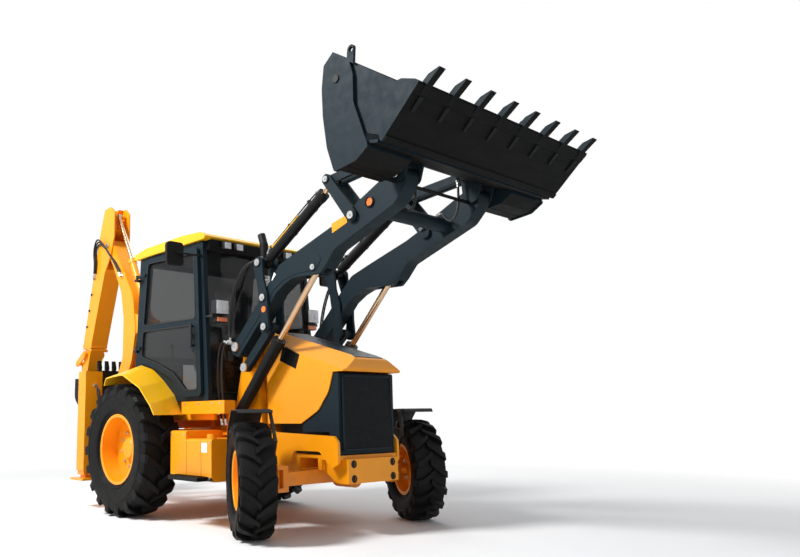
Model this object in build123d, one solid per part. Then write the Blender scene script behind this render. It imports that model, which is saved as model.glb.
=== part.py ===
from build123d import *
import math
import os

# A backhoe loader, in millimetres. X points forward, Y to the left and Z up.
# All places below are measured from the rear axle's centre, straight down on the ground.

# Wheels and axles
WHEELBASE = 2175
REAR_TYRE_R = 701
REAR_TYRE_W = 430
REAR_RIM_R = 373
REAR_TRACK_HALF = 985
FRONT_TYRE_R = 491
FRONT_TYRE_W = 318
FRONT_RIM_R = 253
FRONT_TRACK_HALF = 1011
KINGPIN_Y = 830
KINGPIN_R = 32
STEER_REST = 29.7          # degrees to the right, as it is parked
RUNNING_GAP = 6
PIN_GAP = 0.3
SEAT_GAP = 0.3

# Chassis
FRAME_HALF = 405
FRAME_PLATE = 30
FRAME_TOP = 880
BUMPER_X = 2615
BUMPER_HALF = 327
BUMPER_TOP = 653
BUMPER_BOTTOM = 444
REAR_FRAME_X = -900
ENGINE_HALF = 230

# Cab
CAB_FLOOR_Z = 1190
SEAL = 4

# Loader: pins in the side view, for the photographed height
TOWER_PIN = (1360, 1720)
LINK_PIN = (1440, 1510)
CRANK_TOP = (1757, 2514)
CRANK_MID = (1828, 2158)
CRANK_LOW = (1839, 1873)
LEVER_PIN = (3012, 2705)
LEVER_TOP = (2730, 3100)
LIFT_EYE = (2501, 2345)
LIFT_FOOT = (1265, 1010)
BUCKET_PIN = (3515, 2925)
LINK_LUG = (3335, 3140)
PIN_R = 34
CROSS_TUBE = (3215, 2725)
CROSS_TUBE_R = 66
BUCKET_HALF = 1200
BUCKET_PLATE = 25
JAW_PIN = (3470, 3585)
TEETH = 8
TOOTH_SPAN_HALF = 1070

# Backhoe
HOE_Y = -380               # the slewing post is shifted to the right, as it is parked
POST_X = -1420
BOOM_FOOT = (-1545, 960)
BOOM_NOSE = (-1565, 3350)
BOOM_W = 200
DIPPER_W = 244
HOE_PIN_R = 32
LEG_X = -995
LEG_Y = 990
LEG_DEPTH = 190
LEG_WIDTH = 220
LEG_TOP = 1590
LEG_FOOT_Z = 320


def v3(x, y, z):
    return Vector(x, y, z)


def rounded_wire(corners, place):
    """A closed outline from (a, b, radius) corners, put in space by place(a, b)."""
    starts, ends, arcs = [], [], []
    count = len(corners)
    for i, corner in enumerate(corners):
        a, b = corner[0], corner[1]
        radius = corner[2] if len(corner) > 2 else 0
        pa, pb = corners[i - 1][0] - a, corners[i - 1][1] - b
        na, nb = corners[(i + 1) % count][0] - a, corners[(i + 1) % count][1] - b
        pl, nl = math.hypot(pa, pb), math.hypot(na, nb)
        pa, pb, na, nb = pa / pl, pb / pl, na / nl, nb / nl
        half = math.acos(max(-1, min(1, pa * na + pb * nb))) / 2
        if radius <= 0 or half > 1.565:
            starts.append((a, b))
            ends.append((a, b))
            arcs.append(None)
            continue
        cut = min(radius / math.tan(half), 0.49 * pl, 0.49 * nl)
        radius = cut * math.tan(half)
        ma, mb = pa + na, pb + nb
        ml = math.hypot(ma, mb)
        reach = radius / math.sin(half) - radius
        starts.append((a + pa * cut, b + pb * cut))
        ends.append((a + na * cut, b + nb * cut))
        arcs.append((a + ma / ml * reach, b + mb / ml * reach))
    edges = []
    for i in range(count):
        if arcs[i]:
            edges.append(Edge.make_three_point_arc(place(*starts[i]), place(*arcs[i]), place(*ends[i])))
        nxt = starts[(i + 1) % count]
        if math.dist(ends[i], nxt) > 0.01:
            edges.append(Edge.make_line(place(*ends[i]), place(*nxt)))
    return Wire(edges)


def side_plate(corners, y0, y1):
    """A plate whose outline is drawn in the side view (x, z) and that runs from y0 to y1."""
    wire = rounded_wire(corners, lambda a, b: v3(a, y0, b))
    return Solid.extrude(Face(wire), v3(0, y1 - y0, 0))


def top_plate(corners, z0, z1):
    """A plate whose outline is drawn in the top view (x, y)."""
    wire = rounded_wire(corners, lambda a, b: v3(a, b, z0))
    return Solid.extrude(Face(wire), v3(0, 0, z1 - z0))


def front_plate(corners, x0, x1):
    """A plate whose outline is drawn in the front view (y, z)."""
    wire = rounded_wire(corners, lambda a, b: v3(x0, a, b))
    return Solid.extrude(Face(wire), v3(x1 - x0, 0, 0))


def block(x0, x1, y0, y1, z0, z1):
    return Solid.make_box(x1 - x0, y1 - y0, z1 - z0, Plane(origin=(x0, y0, z0)))


def bar(p, q, r):
    """A round bar from p to q."""
    along = Vector(*q) - Vector(*p)
    return Solid.make_cylinder(r, along.length, Plane(origin=p, z_dir=along.normalized()))


def cross_pin(at, y0, y1, r):
    """A round pin that lies along Y at the side view point at."""
    return bar((at[0], y0, at[1]), (at[0], y1, at[1]), r)


def strap(p, q, r_p, r_q, y0, y1):
    """A flat link with round ends about two side view points."""
    dx, dz = q[0] - p[0], q[1] - p[1]
    length = math.hypot(dx, dz)
    turn = math.atan2(dz, dx)
    lean = math.asin((r_p - r_q) / length)
    pts = []
    for centre, radius in ((p, r_p), (q, r_q)):
        for side in (1, -1):
            angle = turn + side * (math.pi / 2 - lean)
            pts.append(v3(centre[0] + radius * math.cos(angle), y0, centre[1] + radius * math.sin(angle)))
    back = v3(p[0] - r_p * math.cos(turn), y0, p[1] - r_p * math.sin(turn))
    front = v3(q[0] + r_q * math.cos(turn), y0, q[1] + r_q * math.sin(turn))
    edges = [Edge.make_line(pts[0], pts[2]), Edge.make_three_point_arc(pts[2], front, pts[3]),
             Edge.make_line(pts[3], pts[1]), Edge.make_three_point_arc(pts[1], back, pts[0])]
    return Solid.extrude(Face(Wire(edges)), v3(0, y1 - y0, 0))


def revolve_y(profile, y_axis_at):
    """A wheel piece: (radius, y) corners turned about a Y axis through (x, z)."""
    x0, z0 = y_axis_at
    wire = rounded_wire(profile, lambda r, y: v3(x0, y, z0 + r))
    return Solid.revolve(Face(wire), 360, Axis((x0, 0, z0), (0, 1, 0)))


def fused(*solids):
    first = solids[0]
    rest = list(solids[1:])
    return first.fuse(*rest) if rest else first


def mirrored(shape):
    return shape.mirror(Plane.XZ)


def both_sides(shape):
    return [shape, mirrored(shape)]


NODES = {}


def node(name, *shapes):
    """Keeps a sub-part: a list of solids under one plain name."""
    solids = []
    for shape in shapes:
        if isinstance(shape, (list, tuple)):
            for one in shape:
                solids += list(one.solids())
        else:
            solids += list(shape.solids())
    NODES[name] = solids


# Wheels: each one is drawn on the left side, at its own centre plane

HUB_BORE = 46


def tyre(x, z, y_mid, radius, width, rim_r):
    """A tyre, solid out to its crown, seated between the rim's flanges."""
    seat = rim_r - 22
    inner = 0.38 * width - 1
    half = width / 2
    crown = radius
    profile = [(seat, y_mid - inner), (rim_r + 3, y_mid - inner),
               (0.5 * (rim_r + crown), y_mid - half, 60),
               (crown - 22, y_mid - half + 10, 40), (crown, y_mid - half * 0.6, 90),
               (crown, y_mid + half * 0.6, 90), (crown - 22, y_mid + half - 10, 40),
               (0.5 * (rim_r + crown), y_mid + half, 60), (rim_r + 3, y_mid + inner),
               (seat, y_mid + inner)]
    return revolve_y(profile, (x, z))


def rim(x, z, y_mid, width, rim_r, disc_y, hub_r, hub_out, bore_from):
    """A dished rim: a barrel with two flanges, a pierced disc and the hub drum."""
    seat = rim_r - 22 - PIN_GAP
    lip = 0.38 * width
    edge = 0.405 * width
    skin = 12
    barrel = revolve_y([(seat, y_mid - lip), (seat, y_mid + lip), (rim_r, y_mid + lip, 5),
                        (rim_r, y_mid + edge, 5),
                        (seat - skin, y_mid + edge, 8), (seat - skin, y_mid - edge, 8),
                        (rim_r, y_mid - edge, 5),
                        (rim_r, y_mid - lip, 5)], (x, z))
    disc = revolve_y([(HUB_BORE, disc_y - 8), (seat - skin + 2, disc_y - 8),
                      (seat - skin + 2, disc_y + 8),
                      (HUB_BORE, disc_y + 8)], (x, z))
    drum = revolve_y([(HUB_BORE, bore_from), (hub_r, bore_from), (hub_r, hub_out - 40),
                      (hub_r - 30, hub_out, 12),
                      (0.001, hub_out), (0.001, hub_out - 25), (HUB_BORE, hub_out - 25)], (x, z))
    return fused(barrel, disc, drum)


def turned(shape, x, y, degrees):
    return shape.rotate(Axis((x, y, 0), (0, 0, 1)), degrees)


REAR_DISC_Y = REAR_TRACK_HALF - 25
REAR_HUB_IN = REAR_DISC_Y - 60
rear_tyre = tyre(0, REAR_TYRE_R, REAR_TRACK_HALF, REAR_TYRE_R, REAR_TYRE_W, REAR_RIM_R)
rear_rim = rim(0, REAR_TYRE_R, REAR_TRACK_HALF, REAR_TYRE_W, REAR_RIM_R, REAR_DISC_Y, 130,
               REAR_DISC_Y + 70, REAR_HUB_IN)
node("tyre_rear_left", rear_tyre)
node("tyre_rear_right", mirrored(rear_tyre))
node("rim_rear_left", rear_rim)
node("rim_rear_right", mirrored(rear_rim))

FRONT_DISC_Y = FRONT_TRACK_HALF - 10
FRONT_HUB_IN = KINGPIN_Y + 95
front_tyre = tyre(WHEELBASE, FRONT_TYRE_R, FRONT_TRACK_HALF, FRONT_TYRE_R, FRONT_TYRE_W, FRONT_RIM_R)
front_rim = rim(WHEELBASE, FRONT_TYRE_R, FRONT_TRACK_HALF, FRONT_TYRE_W, FRONT_RIM_R, FRONT_DISC_Y, 105,
                FRONT_DISC_Y + 80, FRONT_HUB_IN)

# Knuckle: a barrel on the kingpin, the spindle that carries the hub, and a steering arm
YOKE_HALF = 78
YOKE_T = 34
KNUCKLE_R = 72
knuckle_barrel = bar((WHEELBASE, KINGPIN_Y, FRONT_TYRE_R - YOKE_HALF + RUNNING_GAP),
                     (WHEELBASE, KINGPIN_Y, FRONT_TYRE_R + YOKE_HALF - RUNNING_GAP), KNUCKLE_R)
kingpin = bar((WHEELBASE, KINGPIN_Y, FRONT_TYRE_R - YOKE_HALF - YOKE_T - 10),
              (WHEELBASE, KINGPIN_Y, FRONT_TYRE_R + YOKE_HALF + YOKE_T + 10), KINGPIN_R)
spindle_flange = bar((WHEELBASE, KINGPIN_Y, FRONT_TYRE_R), (WHEELBASE, FRONT_HUB_IN - RUNNING_GAP,
    FRONT_TYRE_R), 62)
spindle = bar((WHEELBASE, KINGPIN_Y, FRONT_TYRE_R),
              (WHEELBASE, FRONT_DISC_Y + 50, FRONT_TYRE_R), HUB_BORE - PIN_GAP)
GUARD_ARM_Z = FRONT_TYRE_R + YOKE_HALF + YOKE_T + 10
guard_arm = block(WHEELBASE - 50, WHEELBASE + 50, KINGPIN_Y - 45, KINGPIN_Y + 45, GUARD_ARM_Z,
    GUARD_ARM_Z + 16)
steer_arm = side_plate([(WHEELBASE + 30, FRONT_TYRE_R - 28), (WHEELBASE + 200, FRONT_TYRE_R - 28, 30),
                        (WHEELBASE + 200, FRONT_TYRE_R + 28, 30), (WHEELBASE + 30, FRONT_TYRE_R + 28)],
                       KINGPIN_Y - 20, KINGPIN_Y + 20)
knuckle = fused(knuckle_barrel, kingpin, spindle_flange, spindle, guard_arm, steer_arm)

# Front mudguard: a bent sheet over the tyre, on a strut that stands on the knuckle
GUARD_TOP = 600
GUARD_T = 10
GUARD_W = 290
GUARD_IN = FRONT_TRACK_HALF - 150
guard_line = [(225, GUARD_TOP - 30), (205, GUARD_TOP), (-190, GUARD_TOP), (-455, 420), (-545, 145)]


def offset_line(line, distance):
    """The same open line, moved sideways by distance (to the right of its travel when positive)."""
    moved = []
    for i, here in enumerate(line):
        before = line[max(i - 1, 0)]
        after = line[min(i + 1, len(line) - 1)]
        directions = []
        for p, q in ((before, here), (here, after)):
            length = math.dist(p, q)
            if length > 0:
                directions.append(((q[0] - p[0]) / length, (q[1] - p[1]) / length))
        normal = [sum(d[1] for d in directions) / len(directions),
            -sum(d[0] for d in directions) / len(directions)]
        scale = distance / (normal[0] ** 2 + normal[1] ** 2)
        moved.append((here[0] + normal[0] * scale, here[1] + normal[1] * scale))
    return moved


def bent_sheet(line, thickness, bend, x, z, y0, y1):
    """A sheet bent along a side view line, its thickness on the line's right-hand side."""
    inner = offset_line(line, thickness)
    last = len(line) - 1
    corners = [(p[0] + x, p[1] + z, bend if 0 < i < last else 0) for i, p in enumerate(line)]
    corners += [(inner[i][0] + x, inner[i][1] + z, max(bend - abs(thickness), 2) if 0 < i < last else 0)
                for i in range(last, -1, -1)]
    return side_plate(corners, y0, y1)


guard_sheet = bent_sheet(guard_line, -GUARD_T, 60, WHEELBASE, FRONT_TYRE_R, GUARD_IN, GUARD_IN + GUARD_W)
strut_foot = (WHEELBASE, KINGPIN_Y - 20, GUARD_ARM_Z + 16 + 20)
strut_knee = (WHEELBASE + 215, GUARD_IN - 35, FRONT_TYRE_R + 330)
strut_top = (WHEELBASE + 120, GUARD_IN - 10, FRONT_TYRE_R + GUARD_TOP - 24)
guard_strut = fused(block(WHEELBASE - 40, WHEELBASE + 40, KINGPIN_Y - 40, KINGPIN_Y + 30,
                          GUARD_ARM_Z + 16, GUARD_ARM_Z + 36),
                    bar(strut_foot, strut_knee, 16), bar(strut_knee, strut_top, 16),
                    Solid.make_sphere(18, Plane(origin=strut_knee), angle1=-90, angle2=90),
                    block(WHEELBASE + 80, WHEELBASE + 160, GUARD_IN - 26, GUARD_IN + 60,
                          FRONT_TYRE_R + GUARD_TOP - 34, FRONT_TYRE_R + GUARD_TOP - GUARD_T + 2))
mudguard = fused(guard_sheet, guard_strut)

for side, sign in (("left", 1), ("right", -1)):
    for name, piece in (("tyre_front_", front_tyre), ("rim_front_", front_rim),
                        ("knuckle_", knuckle), ("mudguard_", mudguard)):
        own = piece if sign > 0 else mirrored(piece)
        node(name + side, turned(own, WHEELBASE, sign * KINGPIN_Y, -STEER_REST))

# Front axle: a beam with a forked yoke at each end, rocking on a centre pin under the frame
AXLE_Z = FRONT_TYRE_R
yoke_reach = KINGPIN_Y + 60
beam = front_plate([(-KINGPIN_Y + 120, AXLE_Z - 62, 20), (KINGPIN_Y - 120, AXLE_Z - 62, 20),
                    (KINGPIN_Y - 120, AXLE_Z + 52, 20), (200, AXLE_Z + 62, 60), (-200, AXLE_Z + 62, 60),
                    (-KINGPIN_Y + 120, AXLE_Z + 52, 20)], WHEELBASE - 62, WHEELBASE + 62)
bowl = bar((WHEELBASE - 105, 110, AXLE_Z - 10), (WHEELBASE + 105, 110, AXLE_Z - 10), 115)
front_axle_parts = [beam, bowl]
for sign in (1, -1):
    web = block(WHEELBASE - 60, WHEELBASE + 60, min(sign * (KINGPIN_Y - 150), sign * (KINGPIN_Y - 90)),
                max(sign * (KINGPIN_Y - 150), sign * (KINGPIN_Y - 90)),
                AXLE_Z - YOKE_HALF - YOKE_T, AXLE_Z + YOKE_HALF + YOKE_T)
    front_axle_parts.append(web)
    for z0 in (AXLE_Z - YOKE_HALF - YOKE_T, AXLE_Z + YOKE_HALF):
        ear = top_plate([(WHEELBASE - 60, sign * (KINGPIN_Y - 140)),
                         (WHEELBASE + 60, sign * (KINGPIN_Y - 140)),
                         (WHEELBASE + 60, sign * yoke_reach, 58),
                         (WHEELBASE - 60, sign * yoke_reach, 58)],
                        z0, z0 + YOKE_T)
        hole = bar((WHEELBASE, sign * KINGPIN_Y, z0 - 5), (WHEELBASE, sign * KINGPIN_Y, z0 + YOKE_T + 5),
                   KINGPIN_R + PIN_GAP)
        front_axle_parts.append(ear - hole)
front_axle_body = fused(*front_axle_parts)
AXLE_PIN_Z = AXLE_Z + 110
rocker = block(WHEELBASE - 110, WHEELBASE + 110, -70, 70, AXLE_Z + 40, AXLE_PIN_Z + 40)
front_axle_body = fused(front_axle_body, rocker) - bar((WHEELBASE - 200, 0, AXLE_PIN_Z),
                                                       (WHEELBASE + 200, 0, AXLE_PIN_Z),
                                                       30 + PIN_GAP)
node("front_axle", front_axle_body)

# Rear axle: trumpets on both sides of the differential, with a drop to the gearbox
REAR_Z = REAR_TYRE_R
rear_axle = fused(
    revolve_y([(0.001, -REAR_HUB_IN + RUNNING_GAP), (110, -REAR_HUB_IN + RUNNING_GAP), (100, -560),
    (150, -330),
               (205, -190, 60), (205, 190, 60), (150, 330), (100, 560), (110, REAR_HUB_IN - RUNNING_GAP),
               (0.001, REAR_HUB_IN - RUNNING_GAP)], (0, REAR_Z)),
    bar((0, -REAR_DISC_Y - 30, REAR_Z), (0, REAR_DISC_Y + 30, REAR_Z), HUB_BORE - PIN_GAP),
    block(60, 330, -150, 150, REAR_Z - 140, REAR_Z + 150))
node("rear_axle", rear_axle)


# Loader: every link lies in its own layer across the machine (distances from the middle plane)
CRANK_IN = (386, 410)
CRANK_OUT = (576, 602)
ARM_IN = 416
ARM_OUT = 570
EYE_LAYER = (466, 524)
LINK_LAYERS = ((426, 458), (532, 564))
PIN_HEAD = 11
TOWER_IN = 318
TOWER_OUT = 410
BOOM_GAP = 5


def both(maker):
    """Makes the left piece and mirrors it to the right."""
    left = maker()
    return [left, mirrored(left)]


def pin_through(at, y0, y1, radius=PIN_R):
    """A pin between two layers with a round head outside."""
    return fused(cross_pin(at, y0, y1, radius), cross_pin(at, y1, y1 + PIN_HEAD, radius + 9))


# Arms: cranked box sections from the tower to the bucket, joined by a round cross tube
ARM_OUTLINE = [
    (1283, 1668, 50), (1395, 1609, 50), (1878, 2061, 140), (1985, 2180, 90),
    (2110, 2250, 90), (2230, 2290, 90), (2585, 2275, 50), (2660, 2335, 40), (2775, 2460, 80),
    (3455, 2705, 140), (3580, 2830, 80), (3605, 2960, 70), (3520, 3012, 60), (3400, 2968, 60),
    (3060, 2812, 60), (2950, 2745, 90), (2780, 2675, 120), (2290, 2525, 160), (2045, 2445, 130),
    (1880, 2290, 120), (1700, 2105, 120), (1390, 1812, 80), (1275, 1770, 60)]
EYE_POCKET = [(2320, 2190), (2590, 2190), (2640, 2330, 40), (2610, 2450, 60), (2490, 2515, 60),
              (2320, 2360, 60)]


def arm():
    body = side_plate(ARM_OUTLINE, ARM_IN, ARM_OUT)
    pocket = side_plate(EYE_POCKET, EYE_LAYER[0] - 8, EYE_LAYER[1] + 8)
    body = body - pocket
    for at in (TOWER_PIN, CRANK_MID, LEVER_PIN, BUCKET_PIN):
        body = body - cross_pin(at, ARM_IN - 5, ARM_OUT + 5, PIN_R + PIN_GAP)
    stubs = [cross_pin(LIFT_EYE, ARM_OUT - 40, ARM_OUT + PIN_HEAD, PIN_R),
        cross_pin(LIFT_EYE, ARM_IN, ARM_IN + 42, PIN_R)]
    return fused(body, *stubs)


arms = both(arm)
cross_tube = cross_pin(CROSS_TUBE, -ARM_IN - 2, ARM_IN + 2, CROSS_TUBE_R)
node("loader_arms", fused(arms[0], arms[1], cross_tube))

# Bell-cranks: two cheeks beside each arm, on a pin through it
CRANK_OUTLINE = [(1700, 2560, 40), (1690, 2470, 40), (1752, 2280, 80), (1770, 2150, 60), (1800, 2020, 90),
                 (1778, 1860, 50), (1800, 1812, 50), (1880, 1812, 50), (1902, 1880, 50), (1890, 2020, 90),
                 (1893, 2180, 60), (1840, 2330, 80), (1825, 2540, 40), (1790, 2575, 40)]
TILT_R = 50
LINK_EYE_W = 62
LINK_MID = 0.5 * (ARM_IN + ARM_OUT)


def bell_crank():
    pieces = []
    for y0, y1 in (CRANK_IN, CRANK_OUT):
        pieces.append(side_plate(CRANK_OUTLINE, y0, y1))
    pieces.append(pin_through(CRANK_TOP, CRANK_IN[0], CRANK_OUT[1]))
    pieces.append(pin_through(CRANK_MID, CRANK_IN[0], CRANK_OUT[1]))
    half = LINK_EYE_W / 2 + BOOM_GAP
    pieces.append(pin_through(CRANK_LOW, LINK_MID + half, CRANK_OUT[1]))
    pieces.append(cross_pin(CRANK_LOW, CRANK_IN[0], LINK_MID - half, PIN_R))
    return fused(*pieces)


node("bell_cranks", both(bell_crank))


def lower_link():
    body = strap(LINK_PIN, CRANK_LOW, 42, 46, LINK_MID - LINK_EYE_W / 2, LINK_MID + LINK_EYE_W / 2)
    return body - cross_pin(LINK_PIN, ARM_IN, ARM_OUT, PIN_R + PIN_GAP)


node("lower_links", both(lower_link))


def cylinder_barrel(foot, eye, layer_y, radius, length, eye_r, eye_w, rod_r, pin_r=PIN_R):
    """A barrel with its foot eye; hollow, with a gland ring at its mouth."""
    direction = (eye[0] - foot[0], 0, eye[1] - foot[1])
    size = math.hypot(direction[0], direction[2])
    step = (direction[0] / size, direction[2] / size)

    def at(distance):
        return (foot[0] + step[0] * distance, layer_y, foot[1] + step[1] * distance)

    neck = bar(at(eye_r * 0.6), at(eye_r + 40), 26)
    tube = bar(at(eye_r + 28), at(length), radius)
    gland = bar(at(length - 60), at(length), radius + 8)
    lug = cross_pin(foot, layer_y - eye_w / 2, layer_y + eye_w / 2, eye_r)
    whole = fused(neck, tube, gland, lug)
    whole = whole - bar(at(eye_r + 70), at(length + 5), rod_r + 0.6)
    return whole - cross_pin(foot, layer_y - eye_w, layer_y + eye_w, pin_r + PIN_GAP)


def cylinder_rod(foot, eye, layer_y, rod_r, tail, eye_r, eye_w, hole_r=0):
    """A rod that reaches back into the barrel by its tail, with its eye at the front."""
    direction = (eye[0] - foot[0], 0, eye[1] - foot[1])
    size = math.hypot(direction[0], direction[2])
    step = (direction[0] / size, direction[2] / size)

    def at(distance):
        return (foot[0] + step[0] * distance, layer_y, foot[1] + step[1] * distance)

    rod = bar(at(tail), at(size - eye_r * 0.5), rod_r)
    lug = cross_pin(eye, layer_y - eye_w / 2, layer_y + eye_w / 2, eye_r)
    whole = fused(rod, lug)
    if hole_r:
        whole = whole - cross_pin(eye, layer_y - eye_w, layer_y + eye_w, hole_r)
    return whole


LIFT_R = 58
LIFT_ROD_R = 30
LIFT_BARREL = 1003
TILT_ROD_R = 27
TILT_BARREL = 985
LIFT_TAIL = 800
TILT_TAIL = 560
TILT_ROD_EYE_R = 44
EYE_MID = 0.5 * (EYE_LAYER[0] + EYE_LAYER[1])
EYE_W = EYE_LAYER[1] - EYE_LAYER[0]
LIFT_LEVER_EYE_R = 46
node("lift_barrels", both(lambda: cylinder_barrel(LIFT_FOOT, LIFT_EYE, EYE_MID, LIFT_R, LIFT_BARREL, 55,
    EYE_W, LIFT_ROD_R)))
node("lift_rods", both(lambda: cylinder_rod(LIFT_FOOT, LIFT_EYE, EYE_MID, LIFT_ROD_R, LIFT_TAIL,
    LIFT_LEVER_EYE_R, EYE_W)))
node("tilt_barrels", both(lambda: cylinder_barrel(CRANK_TOP, LEVER_TOP, EYE_MID, TILT_R, TILT_BARREL, 52,
    EYE_W, TILT_ROD_R)))
node("tilt_rods", both(lambda: cylinder_rod(CRANK_TOP, LEVER_TOP, EYE_MID, TILT_ROD_R, TILT_TAIL,
    TILT_ROD_EYE_R, EYE_W)))

# Tilt levers on the arms, and the links from them to the bucket

def lever():
    pieces = []
    for y0, y1 in (CRANK_IN, CRANK_OUT):
        pieces.append(strap(LEVER_PIN, LEVER_TOP, 56, 48, y0, y1))
    pieces.append(pin_through(LEVER_PIN, CRANK_IN[0], CRANK_OUT[1]))
    pieces.append(pin_through(LEVER_TOP, EYE_LAYER[1] + BOOM_GAP, CRANK_OUT[1], 27))
    pieces.append(cross_pin(LEVER_TOP, CRANK_IN[0], EYE_LAYER[0] - BOOM_GAP, 27))
    return fused(*pieces)


node("tilt_levers", both(lever))


def bucket_link():
    plates = []
    for y0, y1 in LINK_LAYERS:
        plate = strap(LEVER_TOP, LINK_LUG, 40, 36, y0, y1)
        plates.append(plate - cross_pin(LEVER_TOP, y0 - 5, y1 + 5, 27 + PIN_GAP))
    return Compound(children=plates)


node("bucket_links", [s for s in both(bucket_link)])

# Bucket: a back blade with side plates, and a jaw that opens about a pin near its top
BLADE_LINE = [(3445, 3812), (3350, 3695), (3365, 3330), (3440, 3130), (3620, 3035), (3836, 2982)]
BLADE_T = 22
SIDE_OUT = BUCKET_HALF
SIDE_IN = BUCKET_HALF - BUCKET_PLATE
JAW_OUT = SIDE_IN - BOOM_GAP
JAW_IN = JAW_OUT - BUCKET_PLATE
REAR_SIDE = [(3445, 3820), (3340, 3745, 30), (3310, 3560, 300), (3312, 3330, 300), (3345, 3060, 200),
             (3412, 2850, 20),
             (3640, 2875, 60), (3760, 2950, 20), (3635, 3340, 80), (3640, 3560, 60), (3605, 3700, 20)]
JAW_SIDE = [(3400, 3640, 50), (3410, 3530, 60), (3560, 3500, 80), (3620, 3300, 100), (3660, 3095, 40),
            (3838, 3018, 10), (3860, 2964, 20), (4216, 3284, 5), (4190, 3312, 10), (4070, 3362, 15),
            (4020, 3362, 10), (3600, 3690, 60), (3480, 3665, 60)]


def bucket_sides(sign):
    y0, y1 = sorted((sign * SIDE_IN, sign * SIDE_OUT))
    plate = side_plate(REAR_SIDE, y0, y1)
    eye = side_plate([(3585, 3690), (3600, 3800, 35), (3665, 3800, 35), (3650, 3640)], y0, y1)
    eye = eye - cross_pin((3632, 3762), y0 - 5, y1 + 5, 20)
    pin = cross_pin(JAW_PIN, *sorted((sign * JAW_IN, sign * (SIDE_OUT + 6))), 22)
    return fused(plate, eye, pin)


def bucket_lugs(sign):
    pieces = []
    for y0, y1 in (CRANK_IN, CRANK_OUT):
        lug = side_plate([(3455, 2905, 60), (3515, 2858, 60), (3590, 2870, 60), (3640, 3020, 10),
                         (3440, 3118, 10)],
                         *sorted((sign * y0, sign * y1)))
        pieces.append(lug)
    pieces.append(cross_pin(BUCKET_PIN, *sorted((sign * CRANK_IN[0], sign * (CRANK_OUT[1] + PIN_HEAD))),
        PIN_R))
    mid = side_plate([(3300, 3150, 35), (3330, 3102, 35), (3375, 3120, 20), (3425, 3112, 5),
                     (3372, 3320, 5), (3345, 3200, 20)],
                     *sorted((sign * (LINK_LAYERS[0][1] + BOOM_GAP),
                     sign * (LINK_LAYERS[1][0] - BOOM_GAP))))
    pieces.append(mid)
    box = side_plate([(3425, 2862, 20), (3640, 2885, 30), (3745, 2950, 10), (3745, 2990), (3620, 3024),
                     (3440, 3118), (3360, 3060, 20)],
                     *sorted((sign * 690, sign * (SIDE_IN + 1))))
    pieces.append(box)
    return pieces


blade = bent_sheet(BLADE_LINE, BLADE_T, 120, 0, 0, -SIDE_IN - 1, SIDE_IN + 1)
bucket_pieces = [blade]
for sign in (1, -1):
    bucket_pieces.append(bucket_sides(sign))
    bucket_pieces += bucket_lugs(sign)
node("bucket_shell", fused(*bucket_pieces))

TOOTH = [(4015, 3122, 5), (4216, 3262, 30), (4349, 3357), (4343, 3364), (4250, 3345, 20), (4200, 3310),
    (4130, 3236)]


def jaw():
    floor = side_plate([(3845, 2978), (3862, 2958, 10), (4221, 3286), (4205, 3300), (3855, 2998)],
        -JAW_OUT, JAW_OUT)
    pieces = [floor]
    for sign in (1, -1):
        y0, y1 = sorted((sign * JAW_IN, sign * JAW_OUT))
        side = side_plate(JAW_SIDE, y0, y1) - cross_pin(JAW_PIN, y0 - 5, y1 + 5, 22 + PIN_GAP)
        pieces.append(side)
    for i in range(TEETH):
        y = -TOOTH_SPAN_HALF + i * 2 * TOOTH_SPAN_HALF / (TEETH - 1)
        pieces.append(side_plate(TOOTH, y - 32, y + 32))
    return fused(*pieces)


node("bucket_jaw", jaw())


# Chassis: two side plates with cross members, the bumper block, the towers and the rear frame
FRAME_IN = FRAME_HALF - FRAME_PLATE
CRADLE_GAP = 8
AXLE_HOLE_R = 140.6
FRAME_SIDE = [
    (REAR_FRAME_X, 505), (REAR_FRAME_X, 900), (1700, FRAME_TOP + 20), (1740, FRAME_TOP, 10),
    (2525, 850, 12),
    (2572, 800, 40), (2572, 612, 45), (2470, 565, 30), (2420, 640, 30), (2340, 715, 40), (2010, 715, 40),
    (1930, 560, 40), (1700, 450, 60), (300, 450, 60), (-450, 505, 60)]
TOWER_OUTLINE = [(1080, 760), (1100, 1000, 60), (1282, 1650, 60), (1290, 1790, 58), (1420, 1790, 58),
                 (1500, 1580, 60), (1490, 1430, 50), (1560, 1000, 60), (1600, 760)]
BRACKET_FOOT_Z = 870
BRACKET_EYE_R = 56
BRACKET_OUTLINE = [(LIFT_FOOT[0] - 87, BRACKET_FOOT_Z), (LIFT_FOOT[0] - 59, LIFT_FOOT[1] + BRACKET_EYE_R, BRACKET_EYE_R),
                   (LIFT_FOOT[0] + 57, LIFT_FOOT[1] + BRACKET_EYE_R, BRACKET_EYE_R), (LIFT_FOOT[0] + 47, BRACKET_FOOT_Z)]
RAIL_Z = ((500, 570), (930, 1000))
RAIL_X = (-960, -900)


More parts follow.
